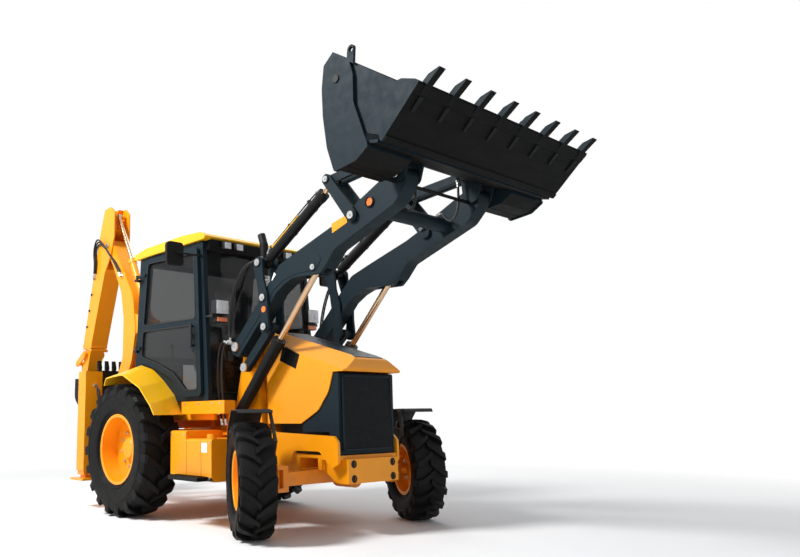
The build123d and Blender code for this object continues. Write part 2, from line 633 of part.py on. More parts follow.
def side_frame(sign):
    y0, y1 = sorted((sign * FRAME_IN, sign * FRAME_HALF))
    plate = side_plate(FRAME_SIDE, y0, y1)
    plate = plate - cross_pin((0, REAR_TYRE_R), y0 - 5, y1 + 5, AXLE_HOLE_R)
    t0, t1 = sorted((sign * TOWER_IN, sign * TOWER_OUT))
    tower = side_plate(TOWER_OUTLINE, t0, t1)
    pieces = [plate, tower]
    for at in (TOWER_PIN, LINK_PIN):
        reach = ARM_OUT if at == TOWER_PIN else LINK_MID + LINK_EYE_W / 2
        pieces.append(cross_pin(at, *sorted((sign * TOWER_IN, sign * (reach + 6))), PIN_R))
        pieces.append(cross_pin(at, *sorted((sign * (reach + 6), sign * (reach + 20))), PIN_R + 12))
    for b0, b1 in ((TOWER_OUT - 5, EYE_LAYER[0] - 6), (EYE_LAYER[1] + 6, EYE_LAYER[1] + 34)):
        pieces.append(side_plate(BRACKET_OUTLINE, *sorted((sign * b0, sign * b1))))
    pieces.append(block(1110, 1340, *sorted((sign * (TOWER_OUT - 5), sign * (EYE_LAYER[1] + 34))), 850,
        880))
    pieces.append(cross_pin(LIFT_FOOT, *sorted((sign * (TOWER_OUT - 5), sign * (EYE_LAYER[1] + 45))),
        PIN_R))
    return pieces


def frame_cross():
    pieces = [block(BUMPER_X - 60, BUMPER_X, -BUMPER_HALF, BUMPER_HALF, BUMPER_BOTTOM, BUMPER_TOP)]
    cheek = [(2260, 560), (2300, 640, 20), (2340, BUMPER_TOP), (BUMPER_X - 60, BUMPER_TOP),
             (BUMPER_X - 60, BUMPER_BOTTOM),
             (2470, BUMPER_BOTTOM, 60), (2330, 540, 60)]
    for sign in (1, -1):
        pieces.append(side_plate(cheek, *sorted((sign * (BUMPER_HALF - 40), sign * BUMPER_HALF))))
    pieces.append(block(2310, 2560, -FRAME_IN - 1, FRAME_IN + 1, BUMPER_TOP - 10, BUMPER_TOP + 30))
    cradle_x = 110 + CRADLE_GAP
    for x0, x1 in ((WHEELBASE - cradle_x - 45, WHEELBASE - cradle_x),
            (WHEELBASE + cradle_x, WHEELBASE + cradle_x + 45)):
        pieces.append(block(x0, x1, -FRAME_IN - 1, FRAME_IN + 1, AXLE_PIN_Z - 45, BUMPER_TOP + 30))
    pieces.append(bar((WHEELBASE - cradle_x - 44, 0, AXLE_PIN_Z),
        (WHEELBASE + cradle_x + 44, 0, AXLE_PIN_Z), 30))
    pieces.append(block(WHEELBASE - cradle_x - 45, 2310, -FRAME_IN - 1, FRAME_IN + 1, BUMPER_TOP + 2,
        BUMPER_TOP + 30))
    pieces.append(block(1180, 1500, -TOWER_IN - 1, TOWER_IN + 1, 860, 900))
    pieces.append(block(-560, -520, -FRAME_IN - 1, FRAME_IN + 1, 520, 880))
    return pieces


def rear_frame():
    pieces = []
    for z0, z1 in RAIL_Z:
        pieces.append(block(RAIL_X[0], RAIL_X[1], -LEG_Y - 5 + LEG_WIDTH / 2, LEG_Y + 5 - LEG_WIDTH / 2,
            z0, z1))
    for sign in (1, -1):
        pieces.append(block(RAIL_X[0] + 30, RAIL_X[1], *sorted((sign * 330, sign * 430)), 565, 935))
        pieces.append(block(RAIL_X[0] + 30, RAIL_X[1], *sorted((sign * 800, sign * 870)), 565, 935))
        gusset = [(RAIL_X[1] - 5, 860), (RAIL_X[1] - 5, 990), (-700, 890)]
        pieces.append(side_plate(gusset, *sorted((sign * FRAME_IN, sign * FRAME_HALF))))
        legs = block(LEG_X - LEG_DEPTH / 2, LEG_X + LEG_DEPTH / 2,
                     *sorted((sign * (LEG_Y - LEG_WIDTH / 2), sign * (LEG_Y + LEG_WIDTH / 2))),
                     430, LEG_TOP)
        legs = legs - block(LEG_X - LEG_DEPTH / 2 + 10, LEG_X + LEG_DEPTH / 2 - 10,
                            *sorted((sign * (LEG_Y - LEG_WIDTH / 2 + 10),
                            sign * (LEG_Y + LEG_WIDTH / 2 - 10))), 420, LEG_TOP - 12)
        pieces.append(legs)
    return pieces


frame_pieces = side_frame(1) + side_frame(-1) + frame_cross() + rear_frame()
main_frame = fused(*frame_pieces)
BUMPER_HOLES = ((255, 610), (255, 485))
for y, z in BUMPER_HOLES:
    for sign in (1, -1):
        main_frame = main_frame - bar((BUMPER_X - 61, sign * y, z), (BUMPER_X + 1, sign * y, z), 17)

node("engine_block", block(1640, 2320, -ENGINE_HALF, ENGINE_HALF, BUMPER_TOP + 30 + SEAT_GAP, 1420))

# Nose: dark grille shell with side skirts
GRILLE_HALF = 364
GRILLE_TOP = 1409
GRILLE_BOTTOM = BUMPER_TOP + 30 + SEAT_GAP
GRILLE_X = 2568
NOSE_REAR_X = 2090
nose_side = [(NOSE_REAR_X, 885), (GRILLE_X - 130, 885), (GRILLE_X - 130, GRILLE_BOTTOM),
             (GRILLE_X - 20, GRILLE_BOTTOM, 15),
             (GRILLE_X, GRILLE_TOP, 20), (2500, GRILLE_TOP), (2440, 1240, 200), (2300, 1060, 200),
             (NOSE_REAR_X, 950, 30)]


def nose():
    outer = side_plate(nose_side, -GRILLE_HALF, GRILLE_HALF)
    inner = side_plate([(2000, 860), (GRILLE_X - 60, 860), (GRILLE_X - 46, GRILLE_TOP + 10),
                       (2000, GRILLE_TOP + 10)],
                       -GRILLE_HALF + 20, GRILLE_HALF - 20)
    lower = block(GRILLE_X - 131, GRILLE_X - 60, -GRILLE_HALF + 20, GRILLE_HALF - 20, GRILLE_BOTTOM + 20,
        861)
    return outer - inner - lower


node("nose", nose())

# Hood: one shell over the engine, hinged at its rear edge in front of the screen
HOOD_HALF = 378
HOOD_REAR_X = 1610
HOOD_HINGE = (1600, 1850)
HINGE_PIN_R = 8
HOOD_T = 12
HOOD_CUT = [(HOOD_REAR_X, 960), (2080, 960, 30), (2310, 1075, 200), (2452, 1245, 200),
            (2512, GRILLE_TOP + 6), (2640, GRILLE_TOP + 6),
            (2665, 1440, 15), (2640, 1530, 40), (2560, 1572, 60), (HOOD_REAR_X, 1868)]


def hood_wedge(sign, inset):
    """What is cut away to slant the hood's upper corner along its whole length."""
    top = 1868
    front = 1572
    run = 2560 - HOOD_REAR_X
    fall = (top - front) / run
    half = HOOD_HALF - inset
    depth = inset * 1.3

    def ring(x):
        z = top - (x - HOOD_REAR_X) * fall - depth
        return [v3(x, sign * 190, z), v3(x, sign * (half + 1), z - 115),
                v3(x, sign * (half + 200), z - 115),
                v3(x, sign * (half + 200), z + 200), v3(x, sign * 190, z + 200)]

    near, far = ring(HOOD_REAR_X - 90), ring(2760)
    face = Face(Wire.make_polygon(near, close=True))
    return Solid.extrude(face, far[0] - near[0])


def hood():
    outer = side_plate(HOOD_CUT, -HOOD_HALF, HOOD_HALF)
    inner = side_plate([(HOOD_REAR_X - 50, 700), (2700, 700), (2628, GRILLE_TOP - 20), (2628, 1500, 20),
                        (2552, 1555, 40),
                        (HOOD_REAR_X - 50, 1870)], -HOOD_HALF + HOOD_T, HOOD_HALF - HOOD_T)
    for sign in (1, -1):
        outer = outer - hood_wedge(sign, 0)
        inner = inner - hood_wedge(sign, HOOD_T)
    shell = outer - inner
    for sign in (1, -1):
        vent = side_plate([(1800, 1560, 10), (2030, 1465, 10), (2090, 1600, 10), (1850, 1700, 10)],
                          *sorted((sign * (HOOD_HALF - 40), sign * (HOOD_HALF + 5))))
        shell = shell - vent
        for i in range(5):
            x = 1850 + i * 45
            slat = block(x, x + 8, *sorted((sign * (HOOD_HALF - HOOD_T), sign * (HOOD_HALF - 2))), 1455,
                1640)
            shell = shell.fuse(slat & vent)
        shell = shell - cross_pin(HOOD_HINGE, *sorted((sign * 84, sign * 109)), 14 + RUNNING_GAP)
        lug = strap(HOOD_HINGE, (1650, 1842), 14, 10, *sorted((sign * 110, sign * 125)))
        shell = shell.fuse(lug - cross_pin(HOOD_HINGE, *sorted((sign * 100, sign * 130)),
            HINGE_PIN_R + PIN_GAP))
    return shell


node("hood", hood())

# Scuttle between hood and cab, with the exhaust stack on its right
SCUTTLE_HALF = 305
SCUTTLE = [(1170, 899), (1595, 899), (1595, 1835, 30), (1500, 1872, 60), (1170, 1880, 20)]
hood_lugs = []
for sign in (1, -1):
    hood_lugs.append(strap((1560, 1826), HOOD_HINGE, 20, 14, *sorted((sign * 90, sign * 105))))
    hood_lugs.append(cross_pin(HOOD_HINGE, *sorted((sign * 90, sign * 135)), HINGE_PIN_R))
node("main_frame", fused(main_frame, side_plate(SCUTTLE, -SCUTTLE_HALF, SCUTTLE_HALF), *hood_lugs))

# Boxes between the wheels: fuel tank on the right, battery box on the left, each with a step
BOX_X = (800, 1075)
BOX_Y = (405.2, 980)
BOX_FRONT_Y = 412
BOX_X2 = 1500
BOX_Z = (432, 900)
STEP_T = 40


def side_box(sign):
    body = front_plate([(sign * BOX_Y[0], BOX_Z[0]), (sign * BOX_Y[1], BOX_Z[0], 40),
                        (sign * BOX_Y[1], BOX_Z[1], 25),
                        (sign * BOX_Y[0], BOX_Z[1])], BOX_X[0], BOX_X[1])
    body = fused(body, front_plate([(sign * BOX_FRONT_Y, BOX_Z[0]), (sign * BOX_Y[1], BOX_Z[0], 40),
                                    (sign * BOX_Y[1], BOX_Z[1] - 75, 25),
                                    (sign * BOX_FRONT_Y, BOX_Z[1] - 75)],
                                   BOX_X[1] - 1, BOX_X2))
    tread = block(930, 1430, *sorted((sign * (BOX_Y[1] - 2), sign * (BOX_Y[1] + 115))), 440, 440 + STEP_T)
    cap = bar((1400, sign * 900, BOX_Z[1] - 77), (1400, sign * 900, BOX_Z[1] - 30), 48)
    return fused(body, tread, cap)


node("side_boxes", both_sides(side_box(1)))

# Platform under the cab with its skirts, and the rear fenders
PLATFORM_Z = (1062, CAB_FLOOR_Z)
SKIRT_HALF = 752
FRAME_RAIL_TOP = 900
MOUNT_X = (-350, 950)
platform = [block(-480, 1075, -640, 640, PLATFORM_Z[1] - 50, PLATFORM_Z[1]),
            block(-480, 1075, -640, -600, 1000, PLATFORM_Z[1]),
            block(-480, 1075, 600, 640, 1000, PLATFORM_Z[1]),
            block(-640, -479, -640, 640, FRAME_RAIL_TOP + SEAT_GAP, 1060)]
for sign in (1, -1):
    for x in MOUNT_X:
        platform.append(block(x - 50, x + 50, *sorted((sign * FRAME_IN, sign * FRAME_HALF)),
            FRAME_RAIL_TOP + SEAT_GAP, PLATFORM_Z[1] - 49))
    platform.append(block(650, 1400, *sorted((sign * 618, sign * SKIRT_HALF)), PLATFORM_Z[0],
        PLATFORM_Z[1]))
FENDER_IN = 742.3
FENDER_OUT = 1180
FENDER_T = 12
# Outline points of one fender's top sheet, from its rear end forward: x, z, bend
FENDER_INNER = [(-345, 1430, 0), (-255, 1638, 70), (40, 1572, 200), (280, 1428, 200), (500, 1262, 150),
    (640, 1062, 0)]
FENDER_OUTER = [(-282, 1392, 0), (-240, 1475, 50), (130, 1498, 200), (500, 1345, 200), (715, 1160, 100),
    (800, 1062, 0)]


def fender_section(line, y):
    points = [(p[0], p[1]) for p in line]
    lower = offset_line(points, FENDER_T)
    corners = [(x, z, bend) for x, z, bend in line]
    corners += [(lower[i][0], lower[i][1], max(line[i][2] - FENDER_T, 0)) for i in range(len(line) - 1,
        -1, -1)]
    return rounded_wire(corners, lambda a, b: v3(a, y, b))


def fender():
    sheet = Solid.make_loft([fender_section(FENDER_INNER, FENDER_IN),
        fender_section(FENDER_OUTER, FENDER_OUT)], ruled=True)
    return sheet


node("platform", fused(*platform))
node("rear_fenders", both_sides(fender()))

# Cab: two side frames, front and rear rings, a roof and the glass
SIDE_IN_Y = 695
SIDE_OUT_Y = 742
DOOR_Y = (748, 784)
DOOR_OUTLINE = [(1052, 1238, 60), (978, 2800, 50), (-60, 2845, 50), (-212, 1672, 70), (180, 1560, 300),
                (490, 1440, 200),
                (735, 1240, 70)]
SIDE_OUTLINE = [(1118, 1195), (1120, 1290, 40), (1020, 2862), (-255, 2880), (-345, 1615),
                (-250, 1625, 60), (45, 1560, 150),
                (290, 1415, 200), (480, 1250, 150), (540, 1195)]
SPLIT_Z = 2010


def inset_outline(corners, distance):
    """The same closed outline, moved inward by distance on every side."""
    area = sum(corners[i - 1][0] * corners[i][1] - corners[i][0] * corners[i - 1][1]
        for i in range(len(corners)))
    sense = 1 if area > 0 else -1
    moved = []
    for i, here in enumerate(corners):
        before, after = corners[i - 1], corners[(i + 1) % len(corners)]
        n = []
        for p, q in ((before, here), (here, after)):
            length = math.dist(p[:2], q[:2])
            n.append((-(q[1] - p[1]) / length * sense, (q[0] - p[0]) / length * sense))
        mx, mz = (n[0][0] + n[1][0]) / 2, (n[0][1] + n[1][1]) / 2
        scale = distance / (mx * mx + mz * mz)
        radius = here[2] if len(here) > 2 else 0
        moved.append((here[0] + mx * scale, here[1] + mz * scale,
            max(radius - distance, 8) if radius else 8))
    return moved


WINDOW_TOP = [(948, SPLIT_Z + 30, 40), (918, 2742, 40), (-12, 2786, 40), (-102, SPLIT_Z + 62, 40)]
WINDOW_LOW = [(948, SPLIT_Z - 35, 40), (985, 1305, 50), (770, 1305, 60), (520, 1500, 200),
              (190, 1625, 250), (-140, 1715, 50),
              (-110, SPLIT_Z - 5, 40)]


def door_frame():
    shell = side_plate(DOOR_OUTLINE, *DOOR_Y)
    for window in (WINDOW_TOP, WINDOW_LOW):
        shell = shell - side_plate(window, DOOR_Y[0] - 5, DOOR_Y[1] + 5)
    handle = fused(bar((925, DOOR_Y[1] - 4, 1960), (925, DOOR_Y[1] + 40, 1960), 12),
                   bar((925, DOOR_Y[1] - 4, 1760), (925, DOOR_Y[1] + 40, 1760), 12),
                   bar((925, DOOR_Y[1] + 40, 1740), (925, DOOR_Y[1] + 40, 1980), 13))
    lock = block(880, 970, DOOR_Y[0] + 4, DOOR_Y[1], 1700, 2000)
    whole = fused(shell, lock, handle)
    for z, reach in zip(HINGE_Z, HINGE_REACH):
        strap_block = block(DOOR_HINGE[0], DOOR_HINGE[0] + reach, DOOR_Y[1] - 2, DOOR_HINGE[1] + 8, z + 2,
            z + 30)
        knuckle_tube = bar((*DOOR_HINGE, z + 2), (*DOOR_HINGE, z + 30), HINGE_R)
        whole = fused(whole, strap_block, knuckle_tube) - bar((*DOOR_HINGE, z), (*DOOR_HINGE, z + 32),
            HINGE_PIN_R + PIN_GAP)
    return whole


def hinge_bracket(z):
    """The cab's half of a door hinge on the left side: a cranked lug with an upright pin."""
    x, y = DOOR_HINGE
    return fused(block(x - 45, x - 20, SIDE_OUT_Y - 1, y + 10, z - 28, z),
                 block(x - 45, x, y - 10, y + 10, z - 28, z),
                 bar((x, y, z - 28), (x, y, z), HINGE_R), bar((x, y, z - 1), (x, y, z + 34), HINGE_PIN_R))


DOOR_HINGE = (-235, 800)
HINGE_Z = (1800, 2640)
HINGE_REACH = (90, 190)
HINGE_R = 14


def glazing(outline, y0, y1, gap):
    return side_plate(inset_outline(outline, gap), y0, y1)


door_glass = Compound(children=[glazing(WINDOW_TOP, DOOR_Y[0] + 10, DOOR_Y[0] + 18, PIN_GAP),
                                glazing(WINDOW_LOW, DOOR_Y[0] + 10, DOOR_Y[0] + 18, PIN_GAP)])
notch = side_plate([(879, 1699), (971, 1699), (971, 2001), (879, 2001)], DOOR_Y[0], DOOR_Y[1] + 60)
door_solid = door_frame()
door_glass_solids = [s - notch for s in door_glass.solids()]
for side, sign in (("left", 1), ("right", -1)):
    node("door_" + side, door_solid if sign > 0 else mirrored(door_solid))
    node("door_glass_" + side, door_glass_solids if sign > 0
        else [mirrored(s) for s in door_glass_solids])



def cab_frame():
    pieces = []
    opening = inset_outline(DOOR_OUTLINE, 28)
    for sign in (1, -1):
        y0, y1 = sorted((sign * SIDE_IN_Y, sign * SIDE_OUT_Y))
        panel = side_plate(SIDE_OUTLINE, y0, y1) - side_plate(opening, y0 - 5, y1 + 5)
        pieces.append(panel)
        for z in HINGE_Z:
            pieces.append(hinge_bracket(z) if sign > 0 else mirrored(hinge_bracket(z)))
    half = SIDE_IN_Y + 1
    for x0, x1, z0, z1 in ((1035, 1110, CAB_FLOOR_Z, 1262), (950, 1024, 2800, 2862),
            (-256, -200, 2800, 2872), (-336, -285, 1665, 1740)):
        pieces.append(block(x0, x1, -half, half, z0, z1))
    return fused(*pieces)



ROOF_HALF = 775
ROOF_SIDE = [(-330, 2885, 10), (1085, 2868, 10), (1118, 2893, 25), (1040, 2950, 60), (700, 2978, 200),
             (-100, 2982, 200),
             (-330, 2945, 60), (-352, 2905, 20)]
roof = side_plate(ROOF_SIDE, -ROOF_HALF, ROOF_HALF)
node("cab_roof", roof)
VISOR = [(1026, 2770, 10), (1060, 2765, 10), (1118, 2868, 4), (1026, 2866, 4)]
node("cab_frame", fused(cab_frame(), side_plate(VISOR, -SIDE_IN_Y - 1, SIDE_IN_Y + 1)))

SCREEN_HALF = SIDE_IN_Y - SEAL
screen = side_plate([(1078, 1262.3), (1086, 1262.3), (996, 2799.7), (988, 2799.7)], -SCREEN_HALF,
    SCREEN_HALF)
rear_screen = side_plate([(-318, 1740.3), (-310, 1740.3), (-236, 2799.7), (-244, 2799.7)], -SCREEN_HALF,
    SCREEN_HALF)
node("cab_glass", [screen, rear_screen])

# Seat and controls
SEAT_X = 330
seat_base = block(SEAT_X - 150, SEAT_X + 150, -150, 150, CAB_FLOOR_Z, 1480)
cushion = side_plate([(SEAT_X - 200, 1480, 20), (SEAT_X + 270, 1480, 30), (SEAT_X + 280, 1600, 50),
    (SEAT_X - 190, 1575, 30)], -240, 240)
back = side_plate([(SEAT_X - 215, 1560, 30), (SEAT_X - 110, 1560, 30), (SEAT_X - 190, 2150, 50),
    (SEAT_X - 290, 2150, 50)], -225, 225)
node("seat", fused(cushion, back))
column = side_plate([(900, CAB_FLOOR_Z), (1020, CAB_FLOOR_Z), (1020, 1500, 30), (860, 1800, 30),
    (800, 1780, 20), (900, 1480, 60)], -130, 130)
wheel_plane = Plane(origin=(770, 0, 1850), z_dir=(-0.5, 0, 0.866))
steering_wheel = Solid.make_torus(190, 16, wheel_plane)
hub = Solid.make_cylinder(40, 30, Plane(origin=(770, 0, 1835), z_dir=(-0.5, 0, 0.866)))
stem = bar((850, 0, 1740), (772, 0, 1848), 22)
spoke = [bar((770, 0, 1850), (770 + 185 * math.cos(a) * 0.866, 185 * math.sin(a),
         1850 + 185 * math.cos(a) * 0.5), 11)
         for a in (math.radians(90), math.radians(210), math.radians(330))]
consoles = []
for sign in (1, -1):
    pod = side_plate([(-200, CAB_FLOOR_Z), (40, CAB_FLOOR_Z), (40, 1640, 40), (-190, 1690, 40)],
        *sorted((sign * 330, sign * 470)))
    consoles.append(pod)
    consoles.append(bar((-60, sign * 400, 1650), (-90, sign * 400, 1840), 11))
    consoles.append(Solid.make_sphere(26, Plane(origin=(-93, sign * 400, 1855)), angle1=-90, angle2=90))
node("controls", [seat_base, fused(column, stem, hub, steering_wheel, *spoke)] + [fused(*consoles[:3]),
    fused(*consoles[3:])])

# Lamps, mirrors, exhaust stack
lamp_pieces = []
for sign in (1, -1):
    bracket = fused(block(1072.6, 1190, *sorted((sign * 660, sign * 735)), 2040, 2060),
        block(1150, 1190, *sorted((sign * 600, sign * 740)), 2030, 2062))
    lamp_pieces.append(fused(bracket, front_plate([(sign * 560, 2062, 15), (sign * 720, 2062, 15),
                             (sign * 720, 2210, 15), (sign * 560, 2210, 15)], 1140, 1230),
                             front_plate([(sign * 565, 1985, 8), (sign * 700, 1985, 8),
                             (sign * 700, 2035, 8), (sign * 565, 2035, 8)], 1150, 1215)))
for y in (-510, -350, 350, 510):
    lamp_pieces.append(block(1111, 1160, y - 48, y + 48, 2775, 2855))
    lamp_pieces.append(block(-400, -347.5, y - 48, y + 48, 2895, 2970))
node("lamps", lamp_pieces)
fit_pieces = []
for sign in (1, -1):
    arm_root, arm_knee, arm_end = (1010, sign * 748.5, 2700), (1080, sign * 860, 2680), (1030,
        sign * 1075, 2690)
    mirror = front_plate([(sign * 985, 2560, 30), (sign * 1185, 2560, 30), (sign * 1185, 2800, 40),
        (sign * 985, 2800, 40)], 990, 1030)
    fit_pieces.append(fused(bar(arm_root, arm_knee, 11), bar(arm_knee, arm_end, 11),
                            Solid.make_sphere(13, Plane(origin=arm_knee), angle1=-90, angle2=90), mirror))
STACK_R = 45
stack = fused(bar((1420, -230, 1875.3), (1420, -230, 2820), STACK_R),
    bar((1424, -230, 2800), (1380, -230, 2925), STACK_R - 3))
stack = stack - bar((1398, -230, 2873), (1376, -230, 2937), STACK_R - 9)
node("mirrors_and_stack", fit_pieces, stack)

# Backhoe: a carriage on two rails, a slewing post, boom, dipper, telescopic stick and bucket
CARRIAGE_HALF = 250
EAR_LOW = (600, 650)
EAR_HIGH = (800, 860)
KING_R = 40
CHEEK_IN = 66
BOOM_HALF = BOOM_W / 2
DIPPER_HALF = DIPPER_W / 2
LUG_HALF = 55
FORK_IN = 30
EYE_HALF = 24
WIDE_FORK = 62


def hoe_plate(corners, half_in, half_out):
    """A pair of cheeks beside the hoe's middle plane, or one solid plate when half_in is 0."""
    if half_in == 0:
        return [side_plate(corners, HOE_Y - half_out, HOE_Y + half_out)]
    return [side_plate(corners, HOE_Y + half_in, HOE_Y + half_out),
        side_plate(corners, HOE_Y - half_out, HOE_Y - half_in)]


def hoe_pin(at, half, radius=HOE_PIN_R):
    return cross_pin(at, HOE_Y - half, HOE_Y + half, radius)


def hoe_stubs(at, half_in, half_out, radius=HOE_PIN_R):
    """Two short pins that stop before the middle, where a drifting eye runs."""
    return [cross_pin(at, HOE_Y + half_in, HOE_Y + half_out, radius),
        cross_pin(at, HOE_Y - half_out, HOE_Y - half_in, radius)]


CARRIAGE_X = RAIL_X[0] - SEAT_GAP
EAR_ROOT_HALF = 170
EAR_TIP_HALF = 70            # stays inside the post's own web at full swing
carriage_pieces = [block(CARRIAGE_X - 50, CARRIAGE_X, HOE_Y - CARRIAGE_HALF, HOE_Y + CARRIAGE_HALF,
    RAIL_Z[0][0] - 26, RAIL_Z[1][1] + 26)]
for z0, z1 in ((RAIL_Z[1][1] + SEAT_GAP, RAIL_Z[1][1] + 26),
        (RAIL_Z[0][0] - 26, RAIL_Z[0][0] - SEAT_GAP)):
    carriage_pieces.append(block(CARRIAGE_X - 1, RAIL_X[1] - 10, HOE_Y - CARRIAGE_HALF,
        HOE_Y + CARRIAGE_HALF, z0, z1))
for z0, z1 in (EAR_LOW, EAR_HIGH):
    ear = top_plate([(CARRIAGE_X - 45, HOE_Y - EAR_ROOT_HALF), (CARRIAGE_X - 45, HOE_Y + EAR_ROOT_HALF),
                     (POST_X + 64, HOE_Y + EAR_TIP_HALF), (POST_X - 60, HOE_Y + EAR_TIP_HALF, 60),
                     (POST_X - 60, HOE_Y - EAR_TIP_HALF, 60), (POST_X + 64, HOE_Y - EAR_TIP_HALF)], z0, z1)
    carriage_pieces.append(ear - bar((POST_X, HOE_Y, z0 - 5), (POST_X, HOE_Y, z1 + 5), KING_R + PIN_GAP))
node("hoe_carriage", fused(*carriage_pieces))

POST_BODY = [(POST_X + 70, EAR_LOW[1] + RUNNING_GAP, 20), (POST_X + 70, EAR_HIGH[0] - RUNNING_GAP, 20),
             (POST_X - 85, EAR_HIGH[0] - RUNNING_GAP), (POST_X - 85, EAR_HIGH[1] + 12),
             (POST_X + 20, EAR_HIGH[1] + 20, 20),
             (POST_X + 155, 1110, 30), (POST_X + 155, 1215, 40), (POST_X + 70, 1215, 40),
             (POST_X - 60, 1010, 60),
             (POST_X - 185, 1020, 55), (POST_X - 185, 840, 60),
             (POST_X - 120, EAR_LOW[1] + RUNNING_GAP, 40)]
BOOM_RAM_FOOT = (POST_X + 108, 1165)
BOOM_RAM_EYE = (-962, 2085)
BOOM_RAM_TAIL = 430          # where the parked rod starts inside the barrel, from the foot pin
post = side_plate(POST_BODY, HOE_Y - LUG_HALF, HOE_Y + LUG_HALF)
post = post - side_plate([(POST_X + 40, 1085), (POST_X + 180, 1085), (POST_X + 180, 1225),
                         (POST_X + 40, 1225)],
                         HOE_Y - FORK_IN, HOE_Y + FORK_IN)
post = fused(post, bar((POST_X, HOE_Y, EAR_LOW[0] - 8), (POST_X, HOE_Y, EAR_HIGH[1] + 8), KING_R),
             hoe_pin(BOOM_FOOT, BOOM_HALF + 10, 38), hoe_pin(BOOM_RAM_FOOT, LUG_HALF, 26))
node("hoe_post", post)

# Boom: banana shaped, forked round the post's lug and the boom ram up to its middle
BOOM_OUTLINE = [
    (-1612, 1000, 55), (-1500, 1080, 60), (-1268, 1555, 200), (-1135, 1790, 250), (-1130, 2300, 350),
    (-1205, 2660, 300),
    (-1450, 3060, 200), (-1640, 3290, 60), (-1628, 3420, 70), (-1500, 3425, 60), (-1190, 2990, 200),
    (-895, 2560, 350),
    (-820, 2100, 350), (-905, 1740, 300), (-1200, 1290, 200), (-1480, 905, 60), (-1600, 895, 60)]
BOOM_SLOT = [(-1700, 800), (-1700, 1075), (-1530, 1085, 60), (-1335, 1400, 60), (-1190, 1700, 60),
             (-1075, 2160, 60), (-900, 2200), (-700, 2100),
             (-700, 1600), (-1150, 800)]
DIPPER_RAM_FOOT = (-600, 2180)
DIPPER_RAM_EYE = (-1490, 3760)
boom = fused(*hoe_plate(BOOM_OUTLINE, 0, BOOM_HALF))
boom = boom - side_plate(BOOM_SLOT, HOE_Y - CHEEK_IN, HOE_Y + CHEEK_IN)
boom = boom - hoe_pin(BOOM_FOOT, BOOM_HALF + 5, 38 + PIN_GAP)
ram_lug = [(-880, 2060), (-640, 2125, 55), (-545, 2125, 55), (-545, 2235, 55), (-640, 2260, 55),
    (-860, 2330)]
boom = fused(boom, *hoe_plate(ram_lug, WIDE_FORK, WIDE_FORK + 26),
             hoe_pin(DIPPER_RAM_FOOT, WIDE_FORK + 26, 26),
             *hoe_stubs(BOOM_RAM_EYE, EYE_HALF + 6, CHEEK_IN + 1, 26),
             hoe_pin(BOOM_NOSE, DIPPER_HALF + 12, 38))
node("hoe_boom", boom)


def hoe_ram(foot, eye, barrel_len, radius, rod_r, tail, foot_half=FORK_IN - 6):
    barrel = cylinder_barrel(foot, eye, HOE_Y, radius, barrel_len, 42, 2 * foot_half, rod_r, 26)
    rod = cylinder_rod(foot, eye, HOE_Y, rod_r, tail, 38, 2 * EYE_HALF)
    return barrel, rod


barrel, rod = hoe_ram(BOOM_RAM_FOOT, BOOM_RAM_EYE, 850, 52, 28, BOOM_RAM_TAIL)
node("boom_ram_barrel", barrel)
node("boom_ram_rod", rod)
barrel, rod = hoe_ram(DIPPER_RAM_FOOT, DIPPER_RAM_EYE, 1030, 48, 27, 940, WIDE_FORK - 6)
node("dipper_ram_barrel", barrel)
node("dipper_ram_rod", rod)

# Dipper: a box that straddles the boom's nose, with the stick sliding inside it
DIPPER_OUTLINE = [
    (-1675, 3870, 40), (-1790, 3560, 200), (-1930, 3120, 100), (-2232, 2020), (-2240, 1985),
    (-1990, 1985), (-1985, 2030),
    (-1640, 2985, 150), (-1480, 3200, 100), (-1395, 3440, 150), (-1395, 3790, 60), (-1500, 3885, 60)]
DIPPER_AXIS = ((-1780, 3050), (-2112, 1990))
DIPPER_WALL = 16
TIP_PIN_R = 28
STICK_Y = DIPPER_HALF - DIPPER_WALL - 5
along = math.hypot(DIPPER_AXIS[1][0] - DIPPER_AXIS[0][0], DIPPER_AXIS[1][1] - DIPPER_AXIS[0][1])
STICK_DIR = ((DIPPER_AXIS[1][0] - DIPPER_AXIS[0][0]) / along,
    (DIPPER_AXIS[1][1] - DIPPER_AXIS[0][1]) / along)
STICK_SIDE = (-STICK_DIR[1], STICK_DIR[0])


def on_stick(distance, offset):
    """A side view point, measured down the dipper's axis from its upper end and across it."""
    return (DIPPER_AXIS[0][0] + STICK_DIR[0] * distance + STICK_SIDE[0] * offset,
            DIPPER_AXIS[0][1] + STICK_DIR[1] * distance + STICK_SIDE[1] * offset)


STICK_HALF = 78
BORE_HALF = STICK_HALF + 6
COLLAR = [on_stick(1092, -STICK_HALF - 50), on_stick(1122, -STICK_HALF - 50),
          on_stick(1122, STICK_HALF + 66),
          on_stick(1092, STICK_HALF + 66)]
bore = [on_stick(60, -BORE_HALF), on_stick(1300, -BORE_HALF), on_stick(1300, BORE_HALF),
    on_stick(60, BORE_HALF)]
dipper = fused(*hoe_plate(DIPPER_OUTLINE, 0, DIPPER_HALF))
dipper = dipper - side_plate(bore, HOE_Y - DIPPER_HALF + DIPPER_WALL, HOE_Y + DIPPER_HALF - DIPPER_WALL)
collar_hole = [on_stick(1080, -STICK_HALF - SEAT_GAP), on_stick(1130, -STICK_HALF - SEAT_GAP),
               on_stick(1130, STICK_HALF + SEAT_GAP),
               on_stick(1080, STICK_HALF + SEAT_GAP)]
collar = hoe_plate(COLLAR, 0, DIPPER_HALF + 4)[0] - side_plate(collar_hole, HOE_Y - STICK_Y - SEAT_GAP,
    HOE_Y + STICK_Y + SEAT_GAP)
dipper = fused(dipper, collar)
